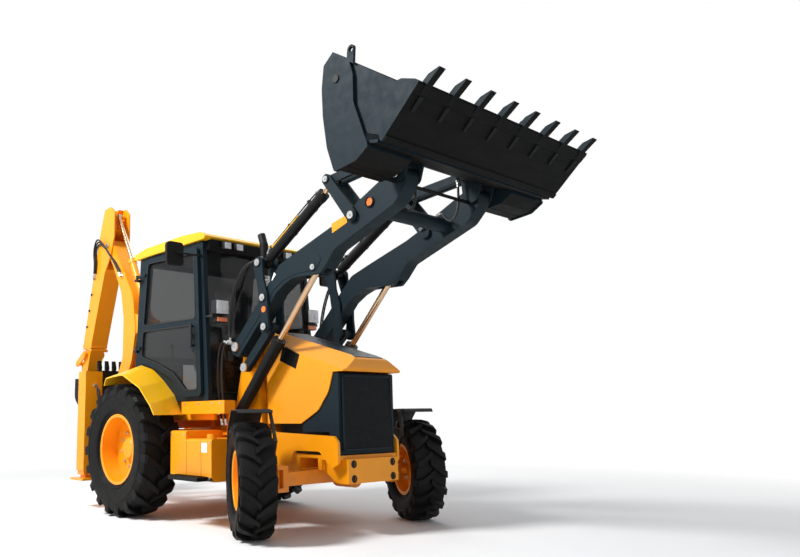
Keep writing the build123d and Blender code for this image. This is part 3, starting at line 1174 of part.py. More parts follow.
nose_room = [(-1850, 3130), (-1735, 3380), (-1735, 3480, 60), (-1560, 3560, 60), (-1530, 3700),
             (-1610, 3830), (-1540, 3900), (-1350, 3900), (-1350, 3000),
             (-1560, 2950), (-1670, 3130)]
dipper = dipper - side_plate(nose_room, HOE_Y - BOOM_HALF - RUNNING_GAP, HOE_Y + BOOM_HALF + RUNNING_GAP)
ram_eye_room = [(-1575, 3600), (-1575, 3740), (-1622, 3810), (-1622, 3960), (-1300, 3960), (-1300, 3500), (-1500, 3560)]
dipper = dipper - side_plate(ram_eye_room, HOE_Y - EYE_HALF - 10, HOE_Y + EYE_HALF + 10)
dipper = dipper - hoe_pin(BOOM_NOSE, DIPPER_HALF + 5, 38 + PIN_GAP)
dipper = fused(dipper, *hoe_stubs(DIPPER_RAM_EYE, EYE_HALF + 6, BOOM_HALF + RUNNING_GAP + 1, 26))
node("hoe_dipper", dipper)

STICK_TIP = on_stick(1510, 0)
TIP_LEVER_PIN = on_stick(1200, -20)
stick = side_plate([on_stick(80, -STICK_HALF), on_stick(1440, -STICK_HALF) + (30,),
                    on_stick(1560, -40) + (45,),
                    on_stick(1560, 40) + (45,), on_stick(1440, STICK_HALF) + (30,),
                    on_stick(80, STICK_HALF)],
                   HOE_Y - STICK_Y, HOE_Y + STICK_Y)
for at in (STICK_TIP, TIP_LEVER_PIN):
    stick = stick - hoe_pin(at, DIPPER_HALF, TIP_PIN_R + PIN_GAP)
LINK_HALF = 60
link_room = [(-2284, 1640), (-2284, 1680), (-2264, 1705), (-2264, 1745), (-2318, 2060), (-2500, 2060), (-2500, 1640)]
stick = stick - side_plate(link_room, HOE_Y - LINK_HALF - RUNNING_GAP, HOE_Y + LINK_HALF + RUNNING_GAP)
node("hoe_stick", stick)

# Bucket: curled under the stick, on two ears beside it. All its corners are measured from its pin
HOE_BUCKET_HALF = 240
HOE_PLATE = 16
EAR_IN = STICK_Y + RUNNING_GAP
EAR_T = 26
LINK_PIN_AT = (-75, -120)
SHELL_LINE = [(35, -70), (35, -300), (255, -470), (515, -400), (655, -190), (695, 40)]
SHELL_SIDE = [(20, -40, 10), (20, -310, 190), (255, -490, 190), (535, -410, 190), (675, -190, 150),
              (712, 40, 5), (640, 30, 10),
              (380, -90, 200), (80, -40, 40)]
EAR_SHAPE = [(-58, 20, 60), (0, 62, 60), (58, 30, 60), (90, -60, 20), (90, -320, 10), (30, -330, 10),
             (-90, -165, 50),
             (-125, -110, 40)]
HOE_TOOTH = [(655, -60), (690, -60, 5), (706, 60, 20), (672, 165), (664, 165), (662, 40)]
HOE_TEETH = 5


def at_tip(corners):
    """Bucket corners moved from its own pin to where the pin is."""
    return [(c[0] + STICK_TIP[0], c[1] + STICK_TIP[1]) + tuple(c[2:]) for c in corners]


bucket_parts = [bent_sheet(at_tip(SHELL_LINE), HOE_PLATE, 140, 0, 0, HOE_Y - HOE_BUCKET_HALF + 1,
    HOE_Y + HOE_BUCKET_HALF - 1)]
bucket_parts += hoe_plate(at_tip(SHELL_SIDE), HOE_BUCKET_HALF - HOE_PLATE, HOE_BUCKET_HALF)
bucket_parts += hoe_plate(at_tip(EAR_SHAPE), EAR_IN, EAR_IN + EAR_T)
bucket_parts.append(hoe_pin(STICK_TIP, EAR_IN + EAR_T + 8, TIP_PIN_R))
LINK_PIN_HOE = at_tip([LINK_PIN_AT])[0]
bucket_parts += hoe_stubs(LINK_PIN_HOE, LINK_HALF + RUNNING_GAP, EAR_IN + EAR_T + 8, 24)
for i in range(HOE_TEETH):
    y = HOE_Y - HOE_BUCKET_HALF + 30 + i * (2 * HOE_BUCKET_HALF - 60) / (HOE_TEETH - 1)
    bucket_parts.append(side_plate(at_tip(HOE_TOOTH), y - 24, y + 24))
node("hoe_bucket", fused(*bucket_parts))

# Tipping levers beside the stick and the link between them and the bucket's ears
TIP_LEVER_EYE = (STICK_TIP[0] - 129, STICK_TIP[1] + 181)
LEVER_IN = DIPPER_HALF + RUNNING_GAP
LEVER_OUT = LEVER_IN + 20
lever_pair = [strap(TIP_LEVER_PIN, TIP_LEVER_EYE, 46, 40, *sorted((HOE_Y + sign * LEVER_IN,
              HOE_Y + sign * LEVER_OUT)))
              for sign in (1, -1)]
node("tipping_levers", fused(*lever_pair, hoe_pin(TIP_LEVER_PIN, LEVER_OUT + 8, TIP_PIN_R),
    hoe_pin(TIP_LEVER_EYE, LEVER_OUT + 8, 24)))
tip_link = strap(TIP_LEVER_EYE, LINK_PIN_HOE, 38, 38, HOE_Y - LINK_HALF, HOE_Y + LINK_HALF)
tip_link = tip_link - hoe_pin(TIP_LEVER_EYE, LINK_HALF + 5, 24 + PIN_GAP)
tip_link = tip_link - hoe_pin(LINK_PIN_HOE, LINK_HALF + 5, 24 + PIN_GAP)
node("tipping_link", tip_link)

# Stabiliser legs inside the housings at the frame's ends
LEG_GAP = 14
LEG_WALL = 10 + SEAT_GAP
for side, sign in (("left", 1), ("right", -1)):
    y0, y1 = sorted((sign * (LEG_Y - LEG_WIDTH / 2 + LEG_GAP), sign * (LEG_Y + LEG_WIDTH / 2 - LEG_GAP)))
    inner = block(LEG_X - LEG_DEPTH / 2 + LEG_GAP, LEG_X + LEG_DEPTH / 2 - LEG_GAP, y0, y1,
        LEG_FOOT_Z + 60, LEG_TOP - 120)
    foot = fused(block(LEG_X - 165, LEG_X + 165, sign * LEG_Y - 150, sign * LEG_Y + 150, LEG_FOOT_Z,
                 LEG_FOOT_Z + 24),
                 block(LEG_X - 60, LEG_X + 60, sign * LEG_Y - 70, sign * LEG_Y + 70, LEG_FOOT_Z + 20,
                 LEG_FOOT_Z + 62))
    pad = block(LEG_X - LEG_DEPTH / 2 + LEG_WALL, LEG_X + LEG_DEPTH / 2 - LEG_WALL,
                *sorted((sign * (LEG_Y - LEG_WIDTH / 2 + LEG_WALL),
                sign * (LEG_Y + LEG_WIDTH / 2 - LEG_WALL))),
                LEG_TOP - 200, LEG_TOP - 120)
    node("stabiliser_" + side, fused(inner, foot, pad))


# The finished machine is centred fore and aft, and stands on the ground
whole = Compound(children=[s for solids in NODES.values() for s in solids]).bounding_box()
SHIFT = v3(-0.5 * (whole.min.X + whole.max.X), -0.5 * (whole.min.Y + whole.max.Y), -whole.min.Z)
os.makedirs("parts", exist_ok=True)
for name, solids in NODES.items():
    export_step(Compound(children=[s.translate(SHIFT) for s in solids]), "parts/" + name + ".step")
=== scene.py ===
import math

import bmesh
import bpy
from mathutils import Matrix, Vector


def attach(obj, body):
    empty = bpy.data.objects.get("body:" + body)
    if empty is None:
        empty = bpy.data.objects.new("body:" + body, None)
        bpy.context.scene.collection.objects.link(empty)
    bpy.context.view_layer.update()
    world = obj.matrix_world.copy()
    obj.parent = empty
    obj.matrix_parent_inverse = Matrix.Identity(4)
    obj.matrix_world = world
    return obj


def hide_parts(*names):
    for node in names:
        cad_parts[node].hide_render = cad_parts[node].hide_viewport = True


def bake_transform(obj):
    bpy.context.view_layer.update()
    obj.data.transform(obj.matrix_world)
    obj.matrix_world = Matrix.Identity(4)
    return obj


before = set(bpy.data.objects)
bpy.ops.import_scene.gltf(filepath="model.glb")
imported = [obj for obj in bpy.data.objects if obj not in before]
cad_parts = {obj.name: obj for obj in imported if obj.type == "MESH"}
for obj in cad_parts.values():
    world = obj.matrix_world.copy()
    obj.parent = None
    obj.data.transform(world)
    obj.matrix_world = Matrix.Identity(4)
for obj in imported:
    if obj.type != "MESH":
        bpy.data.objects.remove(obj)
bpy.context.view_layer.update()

# The frame's origin, in millimetres from the rear axle's centre
ORIGIN = (974.338, 18.0487, 0.0)


def P(x, y, z):
    """A place in millimetres from the rear axle, as metres in the frame."""
    return Vector(((x - ORIGIN[0]) / 1000, (y - ORIGIN[1]) / 1000, (z - ORIGIN[2]) / 1000))


# Camera: place in millimetres from the rear axle, angles, focal length and centre in the picture
CAMERA_PLACE = (7077.17945, -4988.82674, 1024.05971)
YAW = 0.899830166
PITCH = 0.178273147
ROLL = -0.0119125115
FOCAL_PX = 719.585
CENTRE_PX = (244.633, 287.515)
IMAGE = (800, 557)


def make_camera():
    forward = Vector((-math.sin(YAW) * math.cos(PITCH), math.cos(YAW) * math.cos(PITCH), math.sin(PITCH)))
    right = Vector((math.cos(YAW), math.sin(YAW), 0))
    up = right.cross(forward)
    c, s = math.cos(ROLL), math.sin(ROLL)
    right, up = c * right + s * up, -s * right + c * up
    data = bpy.data.cameras.new("camera")
    camera = bpy.data.objects.new("camera", data)
    bpy.context.scene.collection.objects.link(camera)
    rotation = Matrix((right, up, -forward)).transposed()
    camera.matrix_world = Matrix.Translation(P(*CAMERA_PLACE)) @ rotation.to_4x4()
    data.sensor_width = 36
    data.lens = 36 * FOCAL_PX / IMAGE[0]
    data.shift_x = (IMAGE[0] / 2 - CENTRE_PX[0]) / IMAGE[0]
    data.shift_y = (CENTRE_PX[1] - IMAGE[1] / 2) / IMAGE[0]
    data.clip_end = 200
    bpy.context.scene.camera = camera


make_camera()


# Materials
def lin(r, g, b):
    """A screen colour, 0 to 255, as linear light."""
    return tuple(((v / 255 + 0.055) / 1.055) ** 2.4 if v > 10 else v / 255 / 12.92
                 for v in (r, g, b)) + (1,)


def surface(name, colour, rough=0.4, metal=0.0, vary=0.08, grime=0.0, grime_colour=(60, 52, 42),
            grime_top=1.2, bump=0.0, bump_scale=90, coat=0.0, scuff=0.0, scuff_colour=(120, 120, 118),
            streak=(1, 1, 1), spec=0.5):
    """Paint, metal, rubber or plastic: patches of tone, grime, worn scuffs and a fine bump."""
    mat = bpy.data.materials.new(name)
    mat.use_nodes = True
    nodes, links = mat.node_tree.nodes, mat.node_tree.links
    shader = nodes["Principled BSDF"]
    coords = nodes.new("ShaderNodeTexCoord")
    mapping = nodes.new("ShaderNodeMapping")
    mapping.inputs["Scale"].default_value = streak
    links.new(coords.outputs["Object"], mapping.inputs["Vector"])

    def noise(scale, detail=6.0):
        n = nodes.new("ShaderNodeTexNoise")
        n.inputs["Scale"].default_value = scale
        n.inputs["Detail"].default_value = detail
        links.new(mapping.outputs["Vector"], n.inputs["Vector"])
        return n.outputs["Fac"]

    def remap(value, low, high, out_low, out_high):
        m = nodes.new("ShaderNodeMapRange")
        for key, v in (("From Min", low), ("From Max", high), ("To Min", out_low), ("To Max", out_high)):
            m.inputs[key].default_value = v
        links.new(value, m.inputs["Value"])
        return m.outputs["Result"]

    def mix(factor, a, b):
        m = nodes.new("ShaderNodeMix")
        m.data_type = "RGBA"
        links.new(factor, m.inputs["Factor"])
        for socket, v in ((m.inputs[6], a), (m.inputs[7], b)):
            if isinstance(v, tuple):
                socket.default_value = v
            else:
                links.new(v, socket)
        return m.outputs[2]

    def times(a, b):
        m = nodes.new("ShaderNodeMath")
        m.operation = "MULTIPLY"
        links.new(a, m.inputs[0])
        links.new(b, m.inputs[1])
        return m.outputs[0]

    base = lin(*colour)
    dark = tuple(v * (1 - 2 * vary) for v in base[:3]) + (1,)
    out = mix(remap(noise(2.6), 0.35, 0.68, 0, 1), base, dark)
    rough_out = remap(noise(14), 0.3, 0.7, max(rough - 0.06, 0.02), min(rough + 0.08, 1))
    if scuff:
        worn = remap(noise(34, 9), 0.66 - 0.1 * scuff, 0.74, 0, 0.75)
        out = mix(worn, out, lin(*scuff_colour))
    if grime:
        height = nodes.new("ShaderNodeSeparateXYZ")
        links.new(coords.outputs["Object"], height.inputs["Vector"])
        low = remap(height.outputs["Z"], 0.0, grime_top, grime, 0.0)
        out = mix(times(low, remap(noise(9, 8), 0.3, 0.66, 0.15, 1)), out, lin(*grime_colour))
    links.new(out, shader.inputs["Base Color"])
    links.new(rough_out, shader.inputs["Roughness"])
    shader.inputs["Metallic"].default_value = metal
    shader.inputs["Specular IOR Level"].default_value = spec
    if coat:
        shader.inputs["Coat Weight"].default_value = coat
        shader.inputs["Coat Roughness"].default_value = 0.08
    if bump:
        b = nodes.new("ShaderNodeBump")
        b.inputs["Strength"].default_value = bump
        b.inputs["Distance"].default_value = 0.004
        links.new(noise(bump_scale, 4), b.inputs["Height"])
        links.new(b.outputs["Normal"], shader.inputs["Normal"])
    return mat


YELLOW = surface("body_yellow", (252, 160, 10), 0.38, vary=0.03, grime=0.1, bump=0.05, bump_scale=150,
                 coat=0.2, spec=0.4)
ROOF = surface("roof_yellow", (250, 186, 12), 0.34, vary=0.02, bump=0.04, bump_scale=150, coat=0.25,
               spec=0.4)
# A lighter, yellower copy of the body yellow, as painted sunlight on the rear fenders.
FENDER_WITH_PAINTED_SUNLIGHT = surface("fender_yellow_painted_sunlight", (255, 194, 22), 0.34, vary=0.02, bump=0.04, bump_scale=150, coat=0.25,
                 spec=0.4)
# An oranger copy of the body yellow, as painted shade on the axles and knuckles under the machine.
ORANGE_PAINTED_SHADE = surface("axle_orange_painted_shade", (250, 148, 18), 0.42, vary=0.05, grime=0.3, bump=0.08, bump_scale=120,
                 coat=0.2)
SLATE = surface("slate_paint", (23, 37, 44), 0.5, vary=0.05, grime=0.08, bump=0.05, bump_scale=140,
                spec=0.15)
BLACK = surface("black_paint", (14, 15, 16), 0.5, spec=0.2, vary=0.08, grime=0.12, bump=0.08,
                bump_scale=120)
BUCKET = surface("bucket_slate", (24, 38, 45), 0.55, vary=0.04, bump=0.06, bump_scale=60, scuff=0.1,
                 scuff_colour=(34, 44, 48), spec=0.12)
FLOOR_STEEL = surface("bucket_floor", (13, 14, 12), 0.6, vary=0.1, bump=0.1, bump_scale=50, scuff=0.3,
                      scuff_colour=(24, 24, 22), streak=(1, 0.25, 1), spec=0.12)
PLASTIC = surface("black_plastic", (18, 18, 19), 0.55, vary=0.10, grime=0.1, bump=0.12, bump_scale=420)
RUBBER = surface("tyre_rubber", (14, 14, 14), 0.6, vary=0.1, grime=0.12, grime_colour=(60, 55, 48),
                 grime_top=0.4, bump=0.16, bump_scale=160, spec=0.16)
HOSE = surface("hose_rubber", (14, 14, 15), 0.5, vary=0.12, bump=0.1, bump_scale=700)
STEEL = surface("pin_steel", (205, 206, 204), 0.28, metal=0.75, vary=0.08, bump=0.05, bump_scale=220,
                scuff=0.2, scuff_colour=(120, 116, 108))
# The rods' warm tint is a painted reflection of the yellow paint around them.
CHROME_WITH_PAINTED_REFLECTION = surface("rod_chrome", (208, 176, 142), 0.16, metal=1.0, vary=0.03, streak=(1, 1, 6))
CAST = surface("cast_iron", (44, 45, 46), 0.62, metal=0.2, vary=0.16, bump=0.25, bump_scale=130)
WHITE = surface("marker_white", (236, 240, 243), 0.35, vary=0.02, bump=0.03, bump_scale=300)
AMBER = surface("amber_lens", (255, 120, 10), 0.18, vary=0.08, bump=0.2, bump_scale=260, coat=0.8)
RED = surface("red_lens", (190, 16, 12), 0.18, vary=0.08, bump=0.2, bump_scale=260, coat=0.8)
LENS = surface("lamp_glass", (250, 252, 255), 0.12, vary=0.12, bump=0.35, bump_scale=150, coat=1.0)
MIRROR = surface("mirror_glass", (190, 200, 208), 0.05, metal=1.0, vary=0.02)


def glass_material(name, upper):
    """Smoked cab glass with a little dust, more opaque below the doors' waist than above it: painted
    shade of the dark cab seen through the lower panes.
    """
    mat = bpy.data.materials.new(name)
    mat.use_nodes = True
    nodes, links = mat.node_tree.nodes, mat.node_tree.links
    shader = nodes["Principled BSDF"]
    shader.inputs["Base Color"].default_value = lin(36, 38, 40)
    shader.inputs["Specular IOR Level"].default_value = 0.3
    coords = nodes.new("ShaderNodeTexCoord")
    n = nodes.new("ShaderNodeTexNoise")
    n.inputs["Scale"].default_value = 5
    n.inputs["Detail"].default_value = 7
    links.new(coords.outputs["Object"], n.inputs["Vector"])
    height = nodes.new("ShaderNodeSeparateXYZ")
    links.new(coords.outputs["Object"], height.inputs["Vector"])
    # The opacity rises below the waist: painted shade of the cab's dark inside.
    for socket, source, values in (("Roughness", n.outputs["Fac"], (0.3, 0.7, 0.04, 0.14)),
                                   ("Alpha", height.outputs["Z"], (1.98, 2.06, 0.66, upper))):
        m = nodes.new("ShaderNodeMapRange")
        for key, v in zip(("From Min", "From Max", "To Min", "To Max"), values):
            m.inputs[key].default_value = v
        links.new(source, m.inputs["Value"])
        links.new(m.outputs["Result"], shader.inputs[socket])
    return mat


GLASS = glass_material("door_glass", 0.3)
# The front screen stays nearly as opaque above the waist: painted shade of the cab seen through it.
SCREEN = glass_material("screen_glass", 0.6)


def cloth_material():
    """Woven seat cloth: two crossed waves for the weave, with faded patches."""
    mat = surface("seat_cloth", (34, 35, 38), 0.9, vary=0.12, bump=0.0)
    nodes, links = mat.node_tree.nodes, mat.node_tree.links
    coords = nodes.new("ShaderNodeTexCoord")
    total = nodes.new("ShaderNodeMath")
    for i, axis in enumerate(("X", "Y")):
        w = nodes.new("ShaderNodeTexWave")
        w.bands_direction = axis
        w.inputs["Scale"].default_value = 140
        links.new(coords.outputs["Object"], w.inputs["Vector"])
        links.new(w.outputs["Fac"], total.inputs[i])
    b = nodes.new("ShaderNodeBump")
    b.inputs["Strength"].default_value = 0.35
    b.inputs["Distance"].default_value = 0.002
    links.new(total.outputs[0], b.inputs["Height"])
    links.new(b.outputs["Normal"], nodes["Principled BSDF"].inputs["Normal"])
    return mat


CLOTH = cloth_material()

NODE_MATERIALS = {YELLOW: ("main_frame", "hood", "hoe_boom", "hoe_dipper", "hoe_post", "hoe_carriage",
                           "platform", "side_boxes", "rim_rear_left", "rim_rear_right", "rim_front_left",
                           "rim_front_right", "dipper_ram_barrel", "boom_ram_barrel", "stabiliser_left",
                           "stabiliser_right", "hoe_stick", "tipping_levers", "tipping_link"),
                  ROOF: ("cab_roof",), FENDER_WITH_PAINTED_SUNLIGHT: ("rear_fenders",),
                  ORANGE_PAINTED_SHADE: ("front_axle", "knuckle_left", "knuckle_right", "rear_axle"),
                  SLATE: ("nose", "cab_frame", "door_left", "door_right", "loader_arms", "bell_cranks",
                          "lower_links", "tilt_levers", "bucket_links"),
                  BUCKET: ("bucket_shell", "bucket_jaw"), BLACK: ("hoe_bucket", "mirrors_and_stack",
                                                                  "lift_barrels", "tilt_barrels"),
                  PLASTIC: ("mudguard_left", "mudguard_right", "controls", "lamps"),
                  RUBBER: ("tyre_rear_left", "tyre_rear_right", "tyre_front_left", "tyre_front_right"),
                  CHROME_WITH_PAINTED_REFLECTION: ("lift_rods", "tilt_rods", "boom_ram_rod", "dipper_ram_rod"),
                  GLASS: ("door_glass_left", "door_glass_right"), SCREEN: ("cab_glass",),
                  CAST: ("engine_block",), CLOTH: ("seat",), }
def paint_nodes():
    """Gives each solid its material."""
    for material, names in NODE_MATERIALS.items():
        for node_name in names:
            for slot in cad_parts[node_name].material_slots:
                slot.material = material


# Mesh helpers
def piece(name, mesh, body, material, slot=None, bevel=0.0, smooth=35):
    obj = bpy.data.objects.new(name, mesh)
    bpy.context.scene.collection.objects.link(obj)
    if bevel:
        b = obj.modifiers.new("edge", "BEVEL")
        b.width = bevel
        b.segments = 2
        b.limit_method = "ANGLE"
        b.angle_limit = math.radians(30)
    mesh.materials.append(material)
    for face in mesh.polygons:
        face.use_smooth = True
    mesh.set_sharp_from_angle(angle=math.radians(smooth))
    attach(obj, body)
    return obj


class Build:
    """Gathers many solids into one mesh, in metres."""

    def __init__(self):
        self.bm = bmesh.new()

    def prism(self, ring, push):
        """A closed solid: a flat ring of points pushed along a vector."""
        low = [self.bm.verts.new(p) for p in ring]
        high = [self.bm.verts.new(p + push) for p in ring]
        n = len(ring)
        self.bm.faces.new(low[::-1])
        self.bm.faces.new(high)
        for i in range(n):
            self.bm.faces.new((low[i], low[(i + 1) % n], high[(i + 1) % n], high[i]))
        return self

    def side(self, outline, y0, y1):
        """A plate drawn in the side view (x, z), in millimetres, from y0 to y1."""
        return self.prism([P(x, y0, z) for x, z in outline], P(0, y1, 0) - P(0, y0, 0))

    def box(self, x0, x1, y0, y1, z0, z1):
        return self.side([(x0, z0), (x1, z0), (x1, z1), (x0, z1)], y0, y1)

    def rod(self, p, q, r, segments=20, r2=None):
        """A round bar between two places, tapered when r2 is given."""
        axis = (q - p).normalized()
        side = axis.orthogonal().normalized()
        other = axis.cross(side)
        r2 = r if r2 is None else r2
        rings = []
        for centre, radius in ((p, r), (q, r2)):
            rings.append([self.bm.verts.new(centre + (side * math.cos(a) + other * math.sin(a)) * radius)
                          for a in (2 * math.pi * i / segments for i in range(segments))])
        self.bm.faces.new(rings[0][::-1])
        self.bm.faces.new(rings[1])
        for i in range(segments):
            j = (i + 1) % segments
            self.bm.faces.new((rings[0][i], rings[0][j], rings[1][j], rings[1][i]))
        return self

    def lathe(self, profile, centre, axis, segments=64):
        """A closed ring: (radius, along) corners in metres turned about an axis."""
        axis = axis.normalized()
        side = axis.orthogonal().normalized()
        other = axis.cross(side)
        rings = []
        for i in range(segments):
            a = 2 * math.pi * i / segments
            out = side * math.cos(a) + other * math.sin(a)
            rings.append([self.bm.verts.new(centre + out * r + axis * h) for r, h in profile])
        n = len(profile)
        for i in range(segments):
            a, b = rings[i], rings[(i + 1) % segments]
            for j in range(n):
                k = (j + 1) % n
                self.bm.faces.new((a[j], b[j], b[k], a[k]))
        return self

    def loop(self, sections):
        """Skins closed rings of equal length and caps both ends."""
        rings = [[self.bm.verts.new(p) for p in ring] for ring in sections]
        n = len(rings[0])
        self.bm.faces.new(rings[0][::-1])
        self.bm.faces.new(rings[-1])
        for a, b in zip(rings, rings[1:]):
            for i in range(n):
                j = (i + 1) % n
                self.bm.faces.new((a[i], a[j], b[j], b[i]))
        return self

    def piece(self, name, *rest, **options):
        """Makes one piece of the scene from all that was gathered."""
        return piece(name, self.mesh(name), *rest, **options)

    def mesh(self, name):
        bmesh.ops.recalc_face_normals(self.bm, faces=self.bm.faces[:])
        mesh = bpy.data.meshes.new(name)
        self.bm.to_mesh(mesh)
        self.bm.free()
        return mesh


FITTINGS = {}


def add_fitting(body, place, onward, radius):
    """Notes the end of a hose, in millimetres, for a crimped fitting on that body."""
    FITTINGS.setdefault(body, []).append((P(*place), P(*onward), radius / 1000))


def hose(name, points, radius, body, material=None, fitted=True):
    """A hose or pipe: a smooth curve through a few places, in millimetres."""
    if fitted:
        add_fitting(body, points[0], points[1], radius)
        add_fitting(body, points[-1], points[-2], radius)
    curve = bpy.data.curves.new(name, "CURVE")
    curve.dimensions = "3D"
    curve.bevel_depth = radius / 1000
    curve.bevel_resolution = 3
    curve.use_fill_caps = True
    spline = curve.splines.new("NURBS")
    spline.points.add(len(points) - 1)
    for point, place in zip(spline.points, points):
        point.co = (*P(*place), 1)
    spline.order_u = 3
    spline.use_endpoint_u = True
    spline.resolution_u = 8
    obj = bpy.data.objects.new(name, curve)
    bpy.context.scene.collection.objects.link(obj)
    curve.materials.append(material or HOSE)
    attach(obj, body)
    return obj


# Wheels: half tracks and wheelbase, then each tyre's radius, width, rim radius, lugs and lug depth
STEER = math.radians(29.7)
KINGPIN_Y = 830
FRONT_HALF_TRACK = 1011
REAR_HALF_TRACK = 985
WHEELBASE = 2175
REAR_TYRE = (701, 430, 373, 19, 44)
FRONT_TYRE = (491, 318, 253, 17, 36)
# Wheel nuts: the disc's face from the wheel's middle, bolt circle radius, number of nuts
REAR_NUTS = (-0.017, 0.19, 10)
FRONT_NUTS = (-0.002, 0.135, 8)


def wheel_frames():
    """Name, body, centre and outward axis of each wheel, with its tyre sizes in millimetres."""
    rows = []
    for side, sign in (("left", 1), ("right", -1)):
        rear_centre = P(0, sign * REAR_HALF_TRACK, REAR_TYRE[0])
        rows.append(("rear_" + side, rear_centre, Vector((0, sign, 0)), *REAR_TYRE))
        reach = FRONT_HALF_TRACK - KINGPIN_Y
        centre = P(WHEELBASE + sign * math.sin(STEER) * reach,
                   sign * (KINGPIN_Y + math.cos(STEER) * reach), FRONT_TYRE[0])
        axis = Vector((math.sin(STEER), math.cos(STEER), 0)) * sign
        rows.append(("front_" + side, centre, axis, *FRONT_TYRE))
    return rows


def make_tyre(name, centre, axis, radius, width, rim_r, lugs, depth):
    """A carcass with rounded shoulders and two rows of slanting lugs, half a step apart."""
    radius, width, rim_r, depth = radius / 1000, width / 1000, rim_r / 1000, depth / 1000
    half = width / 2
    body_r = radius - depth
    up = Vector((0, 0, 1))
    fore = up.cross(axis).normalized()
    build = Build()
    inner = 0.38 * width
    seat = rim_r - 0.022
    wall = [(seat, -inner), (rim_r + 0.006, -inner), (rim_r + 0.05, -half * 0.93),
            (0.5 * (rim_r + body_r), -half), (body_r - 0.06, -half * 0.985),
            (body_r - 0.018, -half * 0.90), (body_r - 0.004, -half * 0.6), (body_r, 0)]
    profile = wall + [(r, -h) for r, h in wall[-2::-1]]
    build.lathe(profile, centre, axis, 96)
    for ring_r, ring_h in ((rim_r + 0.035, 0.90), (0.5 * (rim_r + body_r) + 0.05, 1.0)):
        for s in (1, -1):
            build.lathe([(ring_r - 0.006, s * half * ring_h * 0.985),
                         (ring_r + 0.006, s * half * ring_h * 0.985),
                         (ring_r, s * (half * ring_h + 0.0035))], centre, axis, 96)

    def at(angle, r, h):
        return centre + (fore * math.cos(angle) + up * math.sin(angle)) * r + axis * h

    step = 2 * math.pi / lugs
    lug_half = 0.115 * step * 1.55
    for s in (1, -1):
        for i in range(lugs):
            start = (i + (0.5 if s < 0 else 0)) * step
            sections = []
            # across: share of the half width, top radius, turn along the tread, thickness share
            for share, drop, turn, thick in ((-0.10, 0.0, 0.0, 0.80), (0.30, 0.0, 0.30, 0.85),
                                             (0.62, 0.002, 0.50, 1.0), (0.88, 0.012, 0.62, 1.12),
                                             (0.985, 0.032, 0.66, 1.15), (1.0, 0.085, 0.68, 0.9)):
                a = start + turn * step
                top = radius - drop
                low = body_r - 0.012 - drop * 0.9
                w = lug_half * thick
                h = s * half * share
                sections.append([at(a - w * 1.12, low, h), at(a + w * 1.12, low, h),
                                 at(a + w * 0.86, top, h), at(a - w * 0.86, top, h)])
            build.loop(sections)
    return build.mesh(name)


def wheels():
    """Lugged tyres in place of the plain ones, and the wheel nuts."""
    for wheel, centre, axis, radius, width, rim_r, lugs, depth in wheel_frames():
        name = "lugged_tyre_" + wheel
        mesh = make_tyre(name, centre, axis, radius, width, rim_r, lugs, depth)
        tyre = piece(name, mesh, "wheel_" + wheel, RUBBER, "tyre", smooth=28)
        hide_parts("tyre_" + wheel)
        nuts = Build()
        disc, circle, count = REAR_NUTS if wheel.startswith("rear") else FRONT_NUTS
        face = centre + axis * (disc + 0.0005)
        side = axis.orthogonal().normalized()
        other = axis.cross(side)
        for i in range(count):
            a = 2 * math.pi * i / count
            out = (side * math.cos(a) + other * math.sin(a)) * circle
            nuts.rod(face + out, face + out + axis * 0.018, 0.017, 6)
            nuts.rod(face + out + axis * 0.018, face + out + axis * 0.03, 0.009, 12)
        nuts.piece("wheel_nuts_" + wheel, "wheel_" + wheel, STEEL, "rod_chrome")


# Loader: half widths over the arms and over the bell-cranks, and pins in the side view
ARM_FACE = 570
CRANK_FACE = 613
CRANK_TOP = (1757, 2514)
CRANK_ARM_PIN = (1828, 2158)
CRANK_LINK_PIN = (1839, 1873)
LEVER_FOOT = (3012, 2705)
LEVER_TOP = (2730, 3100)
TILT_Y = 495
REFLECTOR = (3205, 2779)


def pin_caps(name, body, places, face, r, both=True):
    """Bright pin heads with a retaining bolt, on both outer faces."""
    build = Build()
    for x, z in places:
        for s in ((1, -1) if both else (-1,)):
            build.rod(P(x, s * face, z), P(x, s * (face + 5), z), r / 1000, 28, (r - 3) / 1000)
            build.rod(P(x, s * (face + 5), z), P(x, s * (face + 12), z), 0.011, 6)
    return piece(name, build.mesh(name), body, STEEL, "rod_chrome")


def loader_pins():
    """The bright pin heads of the loader's linkage."""
    pin_caps("crank_pin_caps", "bell_cranks", [CRANK_TOP, CRANK_ARM_PIN, CRANK_LINK_PIN], CRANK_FACE, 36)
    pin_caps("lever_pin_caps", "tilt_levers", [LEVER_FOOT], CRANK_FACE, 36)
    pin_caps("rod_pin_caps", "tilt_levers", [LEVER_TOP], CRANK_FACE, 29)
    pin_caps("tower_pin_caps", "chassis", [(1360, 1720)], 590, 48)
    pin_caps("link_pin_caps", "chassis", [(1440, 1510)], 544, 46)
    pin_caps("lift_eye_caps", "loader", [(2501, 2345)], 581, 28)
    pin_caps("bucket_pin_caps", "bucket", [(3515, 2925)], CRANK_FACE, 28)


def reflectors():
    """Round amber reflectors on the arms and the bell-cranks."""
    boss = Build()
    ring = Build()
    for s in (1, -1):
        ring.lathe([(0.034, 0.0), (0.048, 0.0), (0.048, 0.012), (0.040, 0.016), (0.034, 0.012)],
                   P(REFLECTOR[0], s * ARM_FACE, REFLECTOR[1]), Vector((0, s, 0)), 40)
        boss.rod(P(REFLECTOR[0], s * ARM_FACE, REFLECTOR[1]),
                 P(REFLECTOR[0], s * (ARM_FACE + 8), REFLECTOR[1]), 0.0345, 32)
    ring.piece("reflector_rims", "loader", BLACK, "bucket_black")
    boss.piece("reflectors", "loader", AMBER, "lamp_lens")
    amber = Build()
    for s in (1, -1):
        amber.rod(P(1843, s * 602, 2040), P(1843, s * 608, 2040), 0.03, 32)
    amber.piece("crank_reflectors", "bell_cranks", AMBER, "lamp_lens")


